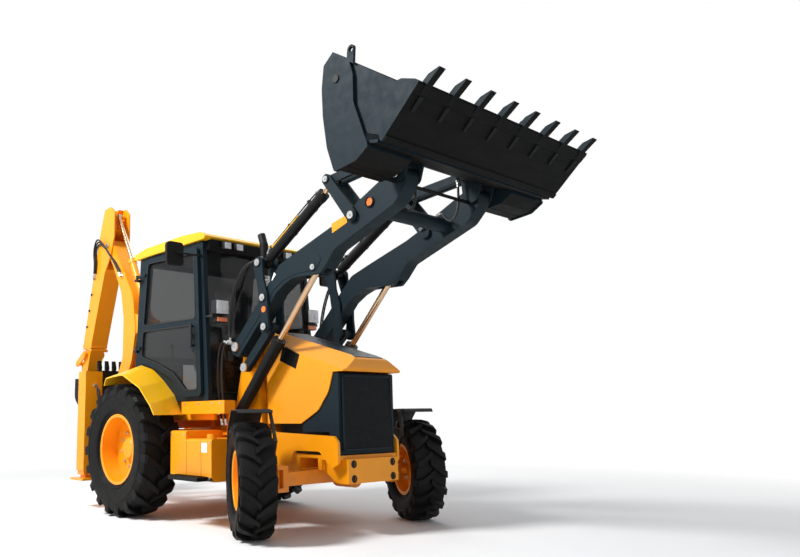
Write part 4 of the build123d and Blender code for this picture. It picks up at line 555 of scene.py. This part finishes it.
def arm_plates():
    """Blank plates on the arms: a pale diamond and a yellow rectangle."""
    marks = Build()
    plates = Build()
    for s in (1, -1):
        marks.side([(1930, 2312), (1968, 2385), (2030, 2322), (1990, 2248)], s * ARM_FACE,
                   s * (ARM_FACE + 2))
        plates.side([(2757, 2604), (2938, 2660), (2933, 2728), (2752, 2690)], s * ARM_FACE,
                    s * (ARM_FACE + 2))
    marks.piece("arm_diamonds", "loader", WHITE, "lamp_lens")
    plates.piece("arm_plates", "loader", YELLOW, "roof_yellow")


def arm_doublers():
    """Doubler plates with a bevelled edge along the rear half of each arm."""
    doubler = Build()
    for s in (1, -1):
        doubler.side([(1420, 1700), (1850, 2085), (1960, 2215), (2100, 2285), (2250, 2318), (2540, 2318),
                      (2610, 2400), (2560, 2470), (2300, 2500), (2060, 2420), (1900, 2270), (1720, 2080),
                      (1400, 1780)], s * ARM_FACE, s * (ARM_FACE + 4))
    doubler.piece("arm_doublers", "loader", SLATE, "slate", bevel=0.0015)


def tilt_ram_trim():
    """Pipes and clamps on the tilt rams, and the level gauge on the right one."""
    for s, side in ((1, "left"), (-1, "right")):
        foot, eye = (CRANK_TOP[0], s * TILT_Y, CRANK_TOP[1]), (LEVER_TOP[0], s * TILT_Y, LEVER_TOP[1])
        length = math.dist(foot, eye)
        ux, uz = (eye[0] - foot[0]) / length, (eye[2] - foot[2]) / length

        def along(d, off, dy=0):
            return (foot[0] + ux * d - uz * off, foot[1] + s * dy, foot[2] + uz * d + ux * off)

        hose("tilt_pipe_long_" + side, [along(95, 60, 12), along(120, 74, 12), along(500, 74, 12),
                                        along(930, 74, 12), along(958, 60, 12)], 7, "tilt_barrels")
        hose("tilt_pipe_short_" + side, [along(95, 58, -14), along(118, 72, -14), along(240, 72, -14),
                                         along(262, 56, -14)], 7, "tilt_barrels")
        clamps = Build()
        for d in (170, 480, 800):
            clamps.rod(P(*along(d - 14, 0)), P(*along(d + 14, 0)), 0.0535, 32)
            clamps.prism([P(*along(d - 12, 48, -24)), P(*along(d + 12, 48, -24)),
                          P(*along(d + 12, 84, -24)), P(*along(d - 12, 84, -24))],
                         Vector((0, s * 0.048, 0)))
        clamps.prism([P(*along(905, -56, -20)), P(*along(985, -56, -20)), P(*along(985, 60, -20)),
                      P(*along(905, 60, -20))], Vector((0, s * 0.04, 0)))
        clamps.piece("tilt_clamps_" + side, "tilt_barrels", BLACK, "bucket_black", bevel=0.002)
    gauge = Build()
    gauge.rod(P(*along(200, 46, 30)), P(*along(640, 46, 30)), 0.007, 14)
    gauge.rod(P(*along(190, 46, 30)), P(*along(214, 46, 30)), 0.011, 14)
    gauge.piece("level_gauge", "tilt_barrels", ROOF, "roof_yellow", bevel=0.001)


def riser_hoses():
    """The hoses that climb at the cab's front corner."""
    for k, (dx, dy) in enumerate(((0, 0), (26, 18), (-24, 30))):
        hose("riser_hose_%d" % k, [(1170 + dx, -560 - dy, 960), (1150 + dx, -575 - dy, 1120),
                                   (1135 + dx, -590 - dy, 1400), (1140 + dx, -585 - dy, 1650),
                                   (1215 + dx, -590 - dy, 1800), (1300 + dx, -600 - dy * 0.5, 1765)], 11,
             "chassis")


def blended_hose(name, points, radius, body_a, body_b):
    """A hose over a joint: a curve turned into a mesh, with its end fittings noted on both bodies."""
    add_fitting(body_a, points[0], points[1], radius)
    add_fitting(body_b, points[-1], points[-2], radius)
    rider = hose(name + "_line", points, radius, body_a, fitted=False)
    depsgraph = bpy.context.evaluated_depsgraph_get()
    mesh = bpy.data.meshes.new_from_object(rider.evaluated_get(depsgraph))
    mesh.name = name
    curve = rider.data
    bpy.data.objects.remove(rider)
    bpy.data.curves.remove(curve)
    obj = bpy.data.objects.new(name, mesh)
    bpy.context.scene.collection.objects.link(obj)
    for face in mesh.polygons:
        face.use_smooth = True
    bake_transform(obj)
    return obj


def loader_hoses():
    """From the risers over the tower to the bell-cranks, and along the arms into the bucket."""
    for k, dy in enumerate((0, 26)):
        blended_hose("crank_hose_%d" % k, [(1300 + 26 * k, -600 - 9 * k, 1765), (1330, -612 - dy, 1900),
                                           (1370, -618 - dy, 2150), (1470, -618 - dy, 2380),
                                           (1600, -612 - dy, 2500), (1700, -600 - dy, 2530),
                                           (1770, -560, 2560)], 9, "chassis", "loader")
        blended_hose("crank_hose_left_%d" % k, [(1330 + 26 * k, 600 + 9 * k, 1765),
                                                (1340, 618 + dy, 1900), (1385, 622 + dy, 2150),
                                                (1480, 620 + dy, 2380), (1600, 612 + dy, 2500),
                                                (1700, 600 + dy, 2530), (1770, 560, 2560)], 9, "chassis",
                     "loader")
    for k, s in enumerate((1, -1)):
        hose("bucket_hose_%d" % k, [(2985, s * 372, 2738), (3060, s * 352, 2764), (3160, s * 335, 2800),
                                    (3225, s * 325, 2810)], 11, "loader")
        blended_hose("jaw_hose_%d" % k, [(3225, s * 325, 2810), (3290, s * 300, 2800),
                                         (3330, s * 285, 2740), (3390, s * 280, 2700),
                                         (3450, s * 285, 2760), (3470, s * 300, 2900),
                                         (3462, s * 310, 3060)], 11, "loader", "bucket")


def bucket_trim():
    """Welded strips, the straps under the teeth, the jaw's pivot discs and a wear bar."""
    strips = Build()
    for x0, z0, x1, z1, t in ((3870, 2962, 3905, 2992, 9), (4150, 3222, 4212, 3276, 6)):
        nx, nz = (z1 - z0), -(x1 - x0)
        n = math.hypot(nx, nz)
        nx, nz = nx / n * t, nz / n * t
        strips.side([(x0, z0), (x1, z1), (x1 + nx, z1 + nz), (x0 + nx, z0 + nz)], -1168, 1168)
    strips.piece("jaw_strips", "jaw", FLOOR_STEEL, "bucket_black", bevel=0.002)
    straps = Build()
    for i in range(8):
        y = -1070 + i * 2140 / 7
        straps.prism([P(4062, y - 15, 3147), P(4150, y - 22, 3223), P(4150, y + 22, 3223),
                      P(4062, y + 15, 3147)], Vector((0.65, 0, -0.76)) * 0.017)
    straps.piece("tooth_straps", "jaw", BLACK, "bucket_black", bevel=0.003)
    discs = Build()
    for s in (1, -1):
        discs.rod(P(3470, s * 1206, 3585), P(3470, s * 1211, 3585), 0.034, 28, 0.031)
    discs.piece("jaw_pin_caps", "bucket", BLACK, "rod_chrome")
    under = Build()
    under.side([(3475, 2868), (3520, 2868), (3520, 2880), (3475, 2880)], -1160, 1160)
    under.piece("bucket_under_bar", "bucket", FLOOR_STEEL, "bucket_black", bevel=0.003)


def recolour(node_name, chosen, other):
    """Gives the faces that chosen(centre, normal) picks a second material."""
    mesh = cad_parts[node_name].data
    mesh.materials.append(other)
    index = len(mesh.materials) - 1
    for face in mesh.polygons:
        if chosen(face.center, face.normal):
            face.material_index = index


def recolour_faces():
    """Smooth sheet metal, and faces that have another colour than their piece."""
    for node_name in ("rear_fenders", "mudguard_left", "mudguard_right", "cab_roof"):
        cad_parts[node_name].data.set_sharp_from_angle(angle=math.radians(38))
    recolour("cab_frame", lambda c, n: c.z > 2.72 and c.x > P(1030, 0, 0).x, BLACK)
    recolour("side_boxes", lambda c, n: c.z < 0.484 and abs(c.y - P(0, 0, 0).y) > 0.96, BLACK)
    recolour("bucket_jaw", lambda c, n: abs(n.y) < 0.3 and n.z < 0.3, FLOOR_STEEL)
    recolour("bucket_shell", lambda c, n: abs(n.y) < 0.3 and n.z < -0.5, FLOOR_STEEL)


# Hood, nose and lamps
def hood_stripe():
    """The dark sheet along the hood's top."""
    top = Build()
    top.side([(1622, 1863.5), (2556, 1572.5), (2612, 1548), (2610, 1543), (2554, 1567), (1620, 1858)],
             -184, 184)
    stripe = top.mesh("hood_stripe")
    for vert in stripe.vertices:
        vert.co.z += 0.0015
    piece("hood_stripe", stripe, "hood", SLATE, "slate", bevel=0.001)


HOOD_HALF = 378
HOOD_VENT = [(1804, 1561), (2029, 1469), (2084, 1600), (1852, 1694)]


def hood_vents():
    """A dark screen with raised bars, flush with each of the hood's sides."""
    screens = Build()
    for s in (1, -1):
        screens.side(HOOD_VENT, s * (HOOD_HALF - 2), s * (HOOD_HALF + 0.5))
        for i in range(9):
            x = 1838 + i * 25
            low, high = 1560 - (x - 1804) * 0.41, 1694 - (x - 1852) * 0.405
            screens.side([(x - 10, low + 4), (x - 5, low + 2), (x + 10, high - 12), (x + 5, high - 10)],
                         s * (HOOD_HALF - 1), s * (HOOD_HALF + 3))
    screens.piece("hood_vent_screens", "hood", BLACK, "bucket_black")


GRILLE_X = 2568
GRILLE_HALF = 330
GRILLE_BOTTOM = 720
GRILLE_TOP = 1385
GRILLE_RIM = 18


def grille():
    """The grille's frame and its mesh."""
    slats = Build()
    holder = Build()
    inner = GRILLE_HALF - GRILLE_RIM
    low, high = GRILLE_BOTTOM + GRILLE_RIM, GRILLE_TOP - GRILLE_RIM
    for y0, y1, z0, z1 in ((-GRILLE_HALF, -inner, GRILLE_BOTTOM, GRILLE_TOP),
                           (inner, GRILLE_HALF, GRILLE_BOTTOM, GRILLE_TOP),
                           (-GRILLE_HALF, GRILLE_HALF, high, GRILLE_TOP),
                           (-GRILLE_HALF, GRILLE_HALF, GRILLE_BOTTOM, low)):
        holder.box(GRILLE_X, GRILLE_X + 10, y0, y1, z0, z1)
    for i in range(29):
        z = 750 + i * 21.2
        slats.box(GRILLE_X + 0.5, GRILLE_X + 5, -inner, inner, z, z + 8)
    for i in range(25):
        y = -300 + i * 25
        slats.box(GRILLE_X + 1, GRILLE_X + 3.4, y - 3, y + 3, low, high)
    holder.piece("grille_frame", "chassis", SLATE, "slate", bevel=0.003)
    slats.piece("grille_mesh", "chassis", BLACK, "bucket_black")


BUMPER_FACE = 2615
BUMPER_BORE_Y = 255
BUMPER_BORE_Z = (610, 485)


def bumper_bores():
    """Black rings on the bumper's face, a painted shade for the inside of its bores, with a bolt in each.
    """
    bore_shade_and_bolts = Build()
    for y in (BUMPER_BORE_Y, -BUMPER_BORE_Y):
        for z in BUMPER_BORE_Z:
            bore_shade_and_bolts.lathe([(0.017, 0.0), (0.034, 0.0), (0.033, 0.003), (0.017, 0.003)],
                        P(BUMPER_FACE, y, z), Vector((1, 0, 0)), 32)
            bore_shade_and_bolts.rod(P(BUMPER_FACE - 12, y, z), P(BUMPER_FACE - 4, y, z), 0.0169, 24)
    bore_shade_and_bolts.piece("bumper_bore_shade_and_bolts", "chassis", BLACK, "bucket_black")


def lamps_and_mirrors():
    """Lamp glasses, indicators and mirror faces."""
    lens = Build()
    indicator = Build()
    for s in (1, -1):
        lens.box(1230, 1236, s * 566, s * 714, 2068, 2204)
        for y in (600, 680):
            lens.lathe([(0.0, 0.0), (0.036, 0.0), (0.034, 0.004), (0.0, 0.007)], P(1236, s * y, 2136),
                       Vector((1, 0, 0)), 28)
        indicator.box(1215, 1221, s * 569, s * 696, 1988, 2031)
    lens.piece("head_lamp_lenses", "chassis", LENS, "lamp_lens", bevel=0.004)
    indicator.piece("indicator_lenses", "chassis", AMBER, "lamp_lens", bevel=0.004)
    work = Build()
    for y in (-510, -350, 350, 510):
        work.box(1160, 1165, y - 41, y + 41, 2782, 2848)
        work.box(-405, -400, y - 41, y + 41, 2902, 2963)
    work.piece("work_lamp_lenses", "chassis", LENS, "lamp_lens", bevel=0.003)
    mirror = Build()
    for s in (1, -1):
        mirror.box(986, 990, s * 1003, s * 1167, 2578, 2782)
    mirror.piece("mirror_faces", "chassis", MIRROR, "glass", bevel=0.001)
    tail = Build()
    for s in (1, -1):
        tail.box(-1097, -1089.5, s * 940, s * 1040, 1400, 1500)
    tail.piece("tail_lamps", "chassis", RED, "lamp_lens", bevel=0.003)


# Cab: the doors' outer face and the panes' outlines in the side view
DOOR_FACE = 784
WINDOW_TOP = [(948, 2040), (918, 2742), (-12, 2786), (-102, 2072)]
WINDOW_LOW = [(948, 1975), (985, 1305), (770, 1305), (520, 1500), (190, 1625), (-140, 1715), (-110, 2005)]


def rounded(outline, radius, steps=5):
    """The same outline with round corners, for seals."""
    out = []
    n = len(outline)
    for i, here in enumerate(outline):
        before, after = Vector(outline[i - 1]), Vector(outline[(i + 1) % n])
        here = Vector(here)
        a = here + (before - here).normalized() * min(radius, (before - here).length * 0.45)
        b = here + (after - here).normalized() * min(radius, (after - here).length * 0.45)
        for k in range(steps + 1):
            t = k / steps
            out.append(a * (1 - t) ** 2 + here * 2 * t * (1 - t) + b * t * t)
    return out


def seal(name, outline, y, body):
    """A rubber seal round a window: a small ring that follows its edge."""
    build = Build()
    path = rounded(outline, 45)
    n = len(path)
    centre = sum((Vector(p) for p in outline), Vector((0, 0))) / len(outline)
    rings = []
    for i, here in enumerate(path):
        before, after = path[i - 1], path[(i + 1) % n]
        t = (after - before).normalized()
        out = Vector((t.y, -t.x))
        if out.dot(here - centre) < 0:
            out = -out
        s = 1 if y > 0 else -1
        rings.append([build.bm.verts.new(P(here.x + out.x * o, y + s * d, here.y + out.y * o)) for o,
                      d in ((-7, 0.2), (7, 0.2), (5, 4), (-5, 4))])
    for i in range(n):
        a, b = rings[i], rings[(i + 1) % n]
        for j in range(4):
            k = (j + 1) % 4
            build.bm.faces.new((a[j], a[k], b[k], b[j]))
    return piece(name, build.mesh(name), body, PLASTIC, "black_plastic")


def door_trim():
    """Window seals, grips and hinges of both doors."""
    for s, side in ((1, "left"), (-1, "right")):
        seal("upper_window_seal_" + side, WINDOW_TOP, s * DOOR_FACE, "door_" + side)
        seal("lower_window_seal_" + side, WINDOW_LOW, s * DOOR_FACE, "door_" + side)
        grip = Build()
        grip.rod(P(925, s * 824, 1736), P(925, s * 824, 1984), 0.0165, 24)
        grip.box(893, 957, s * DOOR_FACE, s * (DOOR_FACE + 16), 1830, 1892)
        grip.rod(P(925, s * 796, 1860), P(925, s * 806, 1860), 0.014, 20)
        grip.piece("door_grip_" + side, "door_" + side, PLASTIC, "black_plastic", bevel=0.002)
        hinge = Build()
        for z in (1800, 2640):
            hinge.rod(P(-235, s * 800, z - 30), P(-235, s * 800, z + 36), 0.0155, 24)
            hinge.rod(P(-235, s * 800, z + 36), P(-235, s * 800, z + 42), 0.019, 24, 0.015)
        hinge.piece("door_hinges_" + side, "chassis", PLASTIC, "black_plastic", bevel=0.001)


SCREEN_FOOT_X = 1086
SCREEN_FOOT_Z = 1262.3
SCREEN_RUN = 90
SCREEN_RISE = 1537.4


def screen_x(z):
    """The outer face of the front screen."""
    return SCREEN_FOOT_X - (z - SCREEN_FOOT_Z) * SCREEN_RUN / SCREEN_RISE


def cab_trim():
    """The front screen's seal and wiper, the cab's lining and the mat's ribs."""
    wiper = Build()
    hose("screen_seal", [(screen_x(1275) + 4, -680, 1275), (screen_x(1275) + 4, 680, 1275),
                         (screen_x(1275) + 4, 682, 1276), (screen_x(2780) + 4, 682, 2780),
                         (screen_x(2780) + 4, 680, 2781), (screen_x(2780) + 4, -680, 2781),
                         (screen_x(2780) + 4, -682, 2780), (screen_x(1275) + 4, -682, 1276)], 7,
         "chassis", PLASTIC, fitted=False)
    wiper.rod(P(screen_x(2740) + 6, -60, 2740), P(screen_x(2740) + 30, -60, 2740), 0.014, 16)
    wiper.rod(P(screen_x(2740) + 22, -60, 2740), P(screen_x(2180) + 20, -330, 2180), 0.007, 12)
    wiper.prism([P(screen_x(2470) + 5, -190, 2470), P(screen_x(1880) + 5, -474, 1880),
                 P(screen_x(1880) + 18, -474, 1880), P(screen_x(2470) + 18, -190, 2470)],
                Vector((0, 0.012, 0)))
    wiper.piece("wiper", "chassis", PLASTIC, "black_plastic", bevel=0.001)
    lining = Build()
    lining.box(-190, 1000, -660, 660, 2852, 2862)
    lining.box(-150, 1000, -640, 640, 1191, 1199)
    lining.piece("cab_lining", "chassis", PLASTIC, "black_plastic", bevel=0.002)
    ribs = Build()
    for i in range(12):
        ribs.box(-120 + i * 60, -105 + i * 60, -600, 600, 1199, 1203)
    ribs.piece("floor_mat_ribs", "chassis", PLASTIC, "black_plastic")


def cushion(name, x0, x1, y0, y1, z0, z1, lean=0.0, crown=0.03, grooves=3):
    """A crowned pad: pulled in at its rim, with sewn channels across it."""
    bm = bmesh.new()
    nx, ny = 26, 26
    corners = P(x0, y0, z0), P(x1, y1, z1)
    size = corners[1] - corners[0]
    sheets = []
    for level in (0, 1):
        rows = []
        for i in range(nx + 1):
            row = []
            for j in range(ny + 1):
                u, v = i / nx, j / ny
                edge = min(1, 6 * min(u, 1 - u), 6 * min(v, 1 - v))
                puff = math.sqrt(max(0, 1 - (1 - edge) ** 2))
                channel = 0.35 * abs(math.sin(math.pi * v * grooves)) ** 0.4 + 0.65
                inset = 0.012 * (1 - puff)
                x = corners[0].x + inset + (size.x - 2 * inset) * u
                y = corners[0].y + inset + (size.y - 2 * inset) * v
                mid = 0.5 * size.z
                swell = mid * (0.35 + 0.65 * puff) * (channel if level else 1)
                z = corners[0].z + mid + (swell if level else -swell)
                if level:
                    z += crown * puff * math.sin(math.pi * u) * math.sin(math.pi * v)
                row.append(bm.verts.new((x, y, z)))
            rows.append(row)
        sheets.append(rows)
    for level, rows in enumerate(sheets):
        for i in range(nx):
            for j in range(ny):
                quad = (rows[i][j], rows[i + 1][j], rows[i + 1][j + 1], rows[i][j + 1])
                bm.faces.new(quad if level else quad[::-1])
    low, high = sheets
    rim = [(i, 0) for i in range(nx)] + [(nx, j) for j in range(ny)]
    rim += [(i, ny) for i in range(nx, 0, -1)] + [(0, j) for j in range(ny, 0, -1)]
    for k, (i, j) in enumerate(rim):
        i2, j2 = rim[(k + 1) % len(rim)]
        bm.faces.new((low[i][j], low[i2][j2], high[i2][j2], high[i][j]))
    if lean:
        pivot = Vector((corners[0].x, 0, corners[0].z))
        bmesh.ops.rotate(bm, verts=bm.verts, cent=pivot, matrix=Matrix.Rotation(lean, 3, "Y"))
    bmesh.ops.recalc_face_normals(bm, faces=bm.faces[:])
    mesh = bpy.data.meshes.new(name)
    bm.to_mesh(mesh)
    bm.free()
    pad = piece(name, mesh, "chassis", CLOTH, "seat_cloth", smooth=60)
    return pad


def seat_pads():
    """The padded seat in place of the plain one."""
    base_pad = cushion("seat_cushion", 140, 600, -236, 236, 1484, 1588)
    back_pad = cushion("seat_back", 165, 735, -222, 222, 1560, 1650, lean=math.radians(-98))
    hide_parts("seat")
    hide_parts("seat")


# Chassis and steps
def chassis_trim():
    """Bolts, seams, treads, the stack's shield and the hoses of the stabiliser legs."""
    trim = Build()
    for s in (1, -1):
        for x in (720, 960, 1200, 1340):
            trim.rod(P(x, s * 752, 1165), P(x, s * 757, 1165), 0.013, 6)
        for x, z in ((820, 470), (820, 860), (1050, 860), (1470, 470), (1470, 790)):
            trim.rod(P(x, s * 980, z), P(x, s * 985, z), 0.011, 6)
    trim.piece("body_bolts", "chassis", STEEL, "rod_chrome")
    label = Build()
    label.box(1340, 1430, -982, -980, 700, 790)
    label.piece("blank_label", "chassis", WHITE, "lamp_lens")
    seams = Build()
    for s in (1, -1):
        for x in (1082, 1332):
            seams.box(x, x + 3, s * 980, s * 981.2, 470, 800)
    seams.piece("box_seams", "chassis", BLACK, "bucket_black")
    treads = Build()
    for s in (1, -1):
        for i in range(11):
            treads.box(945 + i * 43, 962 + i * 43, s * 985, s * 1090, 480, 484)
    treads.piece("step_treads", "chassis", BLACK, "bucket_black")
    shield = Build()
    shield.lathe([(0.047, 0.0), (0.052, 0.0), (0.052, 0.42), (0.047, 0.42)], P(1420, -230, 2050),
                 Vector((0, 0, 1)), 40)
    for i in range(6):
        shield.lathe([(0.052, 0.0), (0.0545, 0.006), (0.052, 0.012)], P(1420, -230, 2080 + i * 68),
                     Vector((0, 0, 1)), 40)
    shield.piece("stack_shield", "chassis", STEEL, "rod_chrome")
    for s, side in ((1, "left"), (-1, "right")):
        for k, (rise, reach) in enumerate(((1420, 60), (1370, 44))):
            y = s * (985 - 40 * k)
            hose("leg_hose_%d_%s" % (k, side), [(-900, y, rise), (-885 + reach, y, rise + 20),
                                                (-870 + reach, y, rise - 150),
                                                (-870 + reach, s * 900, rise - 290),
                                                (-890, s * 840, 1030)], 10, "chassis")


# Backhoe
HOE_Y = -380


def backhoe_trim():
    """The hoe's bolts, pin heads, hoses and tooth caps."""
    dots = Build()
    for z in (2950, 2730, 2510, 2290):
        x = -1975 - (2950 - z) * 0.2683 + 28
        for s in (1, -1):
            dots.rod(P(x, HOE_Y + s * 121, z), P(x, HOE_Y + s * 130, z), 0.02, 6)
            dots.rod(P(x, HOE_Y + s * 130, z), P(x, HOE_Y + s * 136, z), 0.011, 16)
    dots.piece("dipper_bolts", "hoe_dipper", BLACK, "bucket_black")
    nose_caps = Build()
    for s in (1, -1):
        nose_caps.rod(P(-1565, HOE_Y + s * 134, 3350), P(-1565, HOE_Y + s * 142, 3350), 0.036, 28, 0.032)
    nose_caps.piece("nose_pin_caps", "hoe_boom", STEEL, "rod_chrome")
    foot_caps = Build()
    for s in (1, -1):
        foot_caps.rod(P(-1545, HOE_Y + s * 110, 960), P(-1545, HOE_Y + s * 118, 960), 0.036, 28, 0.032)
    foot_caps.piece("foot_pin_caps", "hoe_post", STEEL, "rod_chrome")
    for k, dy in enumerate((-150, -168, -186)):
        blended_hose("dipper_hose_%d" % k, [(-1180, HOE_Y + dy + 45, 2870),
                                            (-1290, HOE_Y + dy + 20, 3060),
                                            (-1450, HOE_Y + dy, 3190 + 20 * k),
                                            (-1640, HOE_Y + dy, 3360 + 30 * k),
                                            (-1800, HOE_Y + dy + 5, 3420 + 30 * k),
                                            (-1890, HOE_Y + dy + 12, 3300),
                                            (-1850, HOE_Y + dy + 20, 3120),
                                            (-1900, HOE_Y + dy + 30, 2960)], 11, "hoe_boom", "hoe_dipper")
    for k, dy in enumerate((112, 130)):
        hose("boom_hose_%d" % k, [(-1180, HOE_Y + dy, 1700), (-1090, HOE_Y + dy, 2100),
                                  (-1090, HOE_Y + dy, 2450), (-1190, HOE_Y + dy, 2780),
                                  (-1290, HOE_Y + dy - 6, 2930)], 11, "hoe_boom")
    teeth_caps = Build()
    for i in range(5):
        y = HOE_Y - 210 + i * 105
        x, z = -2231, 1609
        teeth_caps.prism([P(x + 663, y - 27, z + 70), P(x + 712, y - 27, z + 66),
                          P(x + 677, y - 27, z + 168), P(x + 662, y - 27, z + 168)],
                         Vector((0, 0.054, 0)))
    teeth_caps.piece("hoe_tooth_caps", "hoe_bucket", FLOOR_STEEL, "bucket_black", bevel=0.004)


def hose_ends():
    """A crimped fitting at both ends of each hose."""
    for body, spots in FITTINGS.items():
        ends = Build()
        for place, onward, r in spots:
            way = (onward - place).normalized()
            ends.rod(place - way * 0.012, place + way * 0.008, r * 1.6, 6)
            ends.rod(place + way * 0.008, place + way * 0.05, r * 1.25, 18)
        ends.piece("hose_fittings_" + body, body, STEEL, "rod_chrome")


# Floor and light
LAMPS = (
    # name, place, target, power in watts, size in metres
    ("key", (-1.2, -7.5, 8.5), (0, 0, 1.4), 1250, 2.2),
    ("fill", (8.5, -4.5, 4.0), (0, 0, 1.6), 15, 5.0),
    ("back", (-5, 6, 6), (0, 0, 1.5), 260, 5.0),
)


def make_floor():
    """A pale floor that keeps the machine's shadow and fades to white."""
    bm = bmesh.new()
    bmesh.ops.create_grid(bm, x_segments=2, y_segments=2, size=60)
    mesh = bpy.data.meshes.new("floor")
    bm.to_mesh(mesh)
    bm.free()
    floor = bpy.data.objects.new("floor", mesh)
    bpy.context.scene.collection.objects.link(floor)
    floor.location.z = -0.001
    mat = bpy.data.materials.new("floor")
    mat.use_nodes = True
    nodes, links = mat.node_tree.nodes, mat.node_tree.links
    nodes["Principled BSDF"].inputs["Base Color"].default_value = (0.93, 0.93, 0.93, 1)
    nodes["Principled BSDF"].inputs["Roughness"].default_value = 0.9
    nodes["Principled BSDF"].inputs["Specular IOR Level"].default_value = 0.0
    coords = nodes.new("ShaderNodeTexCoord")
    length = nodes.new("ShaderNodeVectorMath")
    length.operation = "LENGTH"
    links.new(coords.outputs["Object"], length.inputs[0])
    fade = nodes.new("ShaderNodeMapRange")
    for key, v in (("From Min", 3.5), ("From Max", 9.0), ("To Min", 0.0), ("To Max", 1.0)):
        fade.inputs[key].default_value = v
    links.new(length.outputs["Value"], fade.inputs["Value"])
    glow = nodes.new("ShaderNodeEmission")
    glow.inputs["Color"].default_value = (1, 1, 1, 1)
    path = nodes.new("ShaderNodeLightPath")
    seen = nodes.new("ShaderNodeMath")
    seen.operation = "MULTIPLY"
    links.new(fade.outputs["Result"], seen.inputs[0])
    links.new(path.outputs["Is Camera Ray"], seen.inputs[1])
    mixer = nodes.new("ShaderNodeMixShader")
    links.new(seen.outputs[0], mixer.inputs[0])
    links.new(nodes["Principled BSDF"].outputs[0], mixer.inputs[1])
    links.new(glow.outputs[0], mixer.inputs[2])
    links.new(mixer.outputs[0], nodes["Material Output"].inputs["Surface"])
    mesh.materials.append(mat)


def make_world():
    """A white background to look at, and a softer sky that lights the machine."""
    world = bpy.data.worlds.new("studio")
    bpy.context.scene.world = world
    world.use_nodes = True
    nodes, links = world.node_tree.nodes, world.node_tree.links
    soft = nodes["Background"]
    soft.inputs["Color"].default_value = (0.93, 0.96, 1.0, 1)
    soft.inputs["Strength"].default_value = 0.42
    white = nodes.new("ShaderNodeBackground")
    white.inputs["Color"].default_value = (1, 1, 1, 1)
    white.inputs["Strength"].default_value = 1.0
    path = nodes.new("ShaderNodeLightPath")
    either = nodes.new("ShaderNodeMath")
    either.operation = "MAXIMUM"
    third = nodes.new("ShaderNodeMath")
    third.operation = "MAXIMUM"
    links.new(path.outputs["Is Camera Ray"], either.inputs[0])
    links.new(path.outputs["Is Glossy Ray"], either.inputs[1])
    links.new(either.outputs[0], third.inputs[0])
    links.new(path.outputs["Is Transmission Ray"], third.inputs[1])
    mixer = nodes.new("ShaderNodeMixShader")
    links.new(third.outputs[0], mixer.inputs[0])
    links.new(soft.outputs[0], mixer.inputs[1])
    links.new(white.outputs[0], mixer.inputs[2])
    links.new(mixer.outputs[0], nodes["World Output"].inputs["Surface"])


def make_lamps():
    """Soft studio lamps."""
    for name, place, target, power, size in LAMPS:
        data = bpy.data.lights.new(name, "AREA")
        data.energy = power
        data.size = size
        lamp = bpy.data.objects.new(name, data)
        bpy.context.scene.collection.objects.link(lamp)
        lamp.location = place
        lamp.rotation_euler = (Vector(target) - Vector(place)).to_track_quat("-Z", "Y").to_euler()


for build_part in (paint_nodes, wheels, loader_pins, reflectors, arm_plates, arm_doublers, tilt_ram_trim,
                   riser_hoses, loader_hoses, bucket_trim, recolour_faces, hood_stripe, hood_vents,
                   grille, bumper_bores, lamps_and_mirrors, door_trim, cab_trim, seat_pads, chassis_trim,
                   backhoe_trim, hose_ends, make_floor, make_world, make_lamps):
    build_part()
bpy.context.scene.view_settings.view_transform = "Standard"
